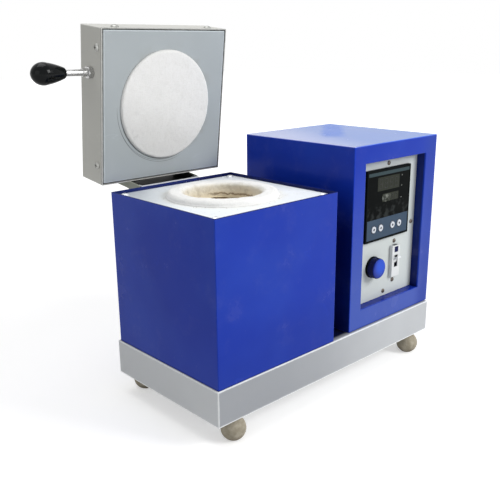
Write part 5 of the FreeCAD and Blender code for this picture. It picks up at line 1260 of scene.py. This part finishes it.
# %% Channel plugs
screws_low, screws_high = shut_box("channel_screws")
HEAD_RADIUS, ACCESS_RADIUS, WEB = 0.003, 0.004, 0.0012
plug_points = [
    (x, z, 0.0) for x in (screws_low[0] + HEAD_RADIUS, screws_high[0] - HEAD_RADIUS)
    for z in (screws_low[2] + HEAD_RADIUS, screws_high[2] - HEAD_RADIUS)
]
plugs = grow(
    "channel_plugs", stud_tree(sleeve), mesh_of("plug_points", plug_points),
    Radius=ACCESS_RADIUS - 0.1 * mm, Depth=WEB, Sides=32,
)
facing(plugs, WEB_OUTSIDE - WEB / 2).data.transform(OPEN_LID)
settle(plugs, "lid")

# %% Signs on the keys and the switch
def diamond(x, z, size):
    """A square that stands on its corner."""
    return arc((x, z), (size, size), 0, 270, 3)


key_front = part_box("controller_key_1")[0].y
for n, (x, z, _) in enumerate(key_middles, 1):
    sign = raised(f"key_sign_{n}", [diamond(x, z, 2.2 * mm)], key_front - 0.05 * mm, 0.15 * mm, dark_ink)
    settle(sign, f"key_{n}")

ink_blue = moulded("band_blue", hue(12, 18, 66), 0.3, 0.0005, 0.00001, 0.02, level=0.05)
BAND = (0.1588, 0.1668)         # lowest and highest edge of the dark band above the toggle
band_outline = rounded(NOSE_MIDDLE - SLOT_HALF, NOSE_MIDDLE + SLOT_HALF, *BAND, 0.5 * mm)
band = raised("switch_band", [band_outline], nose_front - 0.06 * mm, 0.2 * mm, ink_blue)
settle(band, "furnace")

# %% [markdown]
# ## Crumbs round the collar
#
# Small burnt crumbs lie where the collar meets the top plate, most of them on the near left. A
# stain painted on the plate would stay flat, so they are a handful of tiny stones. A tree strews
# them over a narrow ring of the plate, and keeps only those where a noise is high, so they lie
# in groups.

# %% Crumbs
def crumb_tree(finish):
    """Small stones strewn over a ground, in groups."""
    tree, size = new_tree(
        "crumbs", Per_square_metre=60000.0, Crumb=0.0006, Group_size=0.02, Scarcity=0.6, Seed=2
    )
    ground = size["Geometry"]
    clouds = grain(ground.geo("InputPosition"), size["Group_size"], 2.0)
    density = clouds.maths("GREATER_THAN", clouds, size["Scarcity"]) * size["Per_square_metre"]
    points = ground.geo("DistributePointsOnFaces", Mesh=ground, Density=density, Seed=size["Seed"])
    stone = ground.geo("MeshIcoSphere", Radius=1.0, Subdivisions=1)
    scale = random_vector(ground, (0.4, 0.3, 0.25), (1.2, 1.0, 0.6), 5).scaled(size["Crumb"])
    turn = random_vector(ground, (0, 0, 0), (0, 0, math.tau), 6)
    strewn = ground.geo("InstanceOnPoints", Points=points, Instance=stone, Rotation=turn, Scale=scale)
    close_tree(strewn, finish)
    return tree


def plate_arc(name, inner, outer, start, end, steps=48):
    """Part of a flat ring on the top plate round the chamber, between two angles in degrees."""
    curves = [arc(CHAMBER.xy, (radius, radius), start, end, steps) for radius in (inner, outer)]
    faces = [(i, steps + 1 + i, steps + 2 + i, i + 1) for i in range(steps)]
    return mesh_of(name, [(x, y, plate_top) for curve in curves for x, y in curve], faces=faces)


crumb_finish, at = new_finish("burnt_crumb", level=0.3)
burnt = tint(grain(at, 0.0012), hue(60, 44, 32), hue(132, 104, 74))
feed(crumb_finish, burnt, 0.8 + grain(at, 0.001) * 0.15, relief=grain(at, 0.0005), height=0.0001)
crumb_ground = plate_arc("crumb_ground", COLLAR_RADIUS, COLLAR_RADIUS + 0.0035, 150, 235)
crumbs = grow("chamber_crumbs", crumb_tree(crumb_finish), crumb_ground, Scarcity=0.5)
settle(tidy(crumbs, outward=False), "furnace")

# %% [markdown]
# ## Studio
#
# The furnace stands on a plain white floor. Soft boxes light it from the front right and from above,
# and a weaker one fills the left side. They are set so that a colour comes out about as it is
# written. The floor and the world are white to the camera and to mirrors through the Light Path node,
# and not through stronger lamps, which would bleach the paint.

# %% Studio
def seen_directly(start):
    """1 for rays from the camera and for those that metal and glass send on."""
    rays = start.node("ShaderNodeLightPath", {}, {}, "Is Camera Ray")
    return (rays + rays.sibling("Is Glossy Ray") + rays.sibling("Is Transmission Ray")).least(1.0)


world = bpy.data.worlds.new("studio")
scene.world = world
world.use_nodes = True
sky = world.node_tree.nodes["Background"]
sky_colour = Wire(world.node_tree, sky.outputs[0])
AMBIENT = 0.36
strength = AMBIENT + seen_directly(sky_colour) * (1 - AMBIENT)
world.node_tree.links.new(strength.socket, sky.inputs["Strength"])
sky.inputs["Color"].default_value = (1.0, 1.0, 1.0, 1.0)

REACH = 9.0                 # half the width of the floor
corners = [(-REACH, -REACH, 0.0), (REACH, -REACH, 0.0), (REACH, REACH, 0.0), (-REACH, REACH, 0.0)]
floor = put("floor", mesh_of("floor", corners, faces=[(0, 1, 2, 3)]))
finish, at = new_finish("white_floor", Base_Color=hue(228, 228, 228), Roughness=0.9, Emission_Strength=1.0)
white = tint(ramp(at.length(), 0.45, 2.4), (0.46, 0.46, 0.46, 1.0), (1.0, 1.0, 1.0, 1.0))
floor.data.materials.append(feed(finish, emission=tint(seen_directly(at), (0.0, 0.0, 0.0, 1.0), white)))


def soft_box(name, place, aim, size, power):
    """A square lamp at a place, turned towards an aim."""
    light = bpy.data.lights.new(name, "AREA")
    light.energy, light.size = power, size
    turn = (aim - place).to_track_quat("-Z", "Y")
    put(name, light).matrix_world = Matrix.Translation(place) @ turn.to_matrix().to_4x4()


AIM = Vector((0.0, 0.0, 0.2))
soft_box("key_light", Vector((0.9, -1.5, 1.2)), AIM, 0.9, 28.0)
soft_box("top_light", Vector((-0.2, 0.3, 1.7)), AIM, 1.0, 9.0)
soft_box("fill_light", Vector((-1.6, -0.4, 0.8)), AIM, 1.0, 2.6)
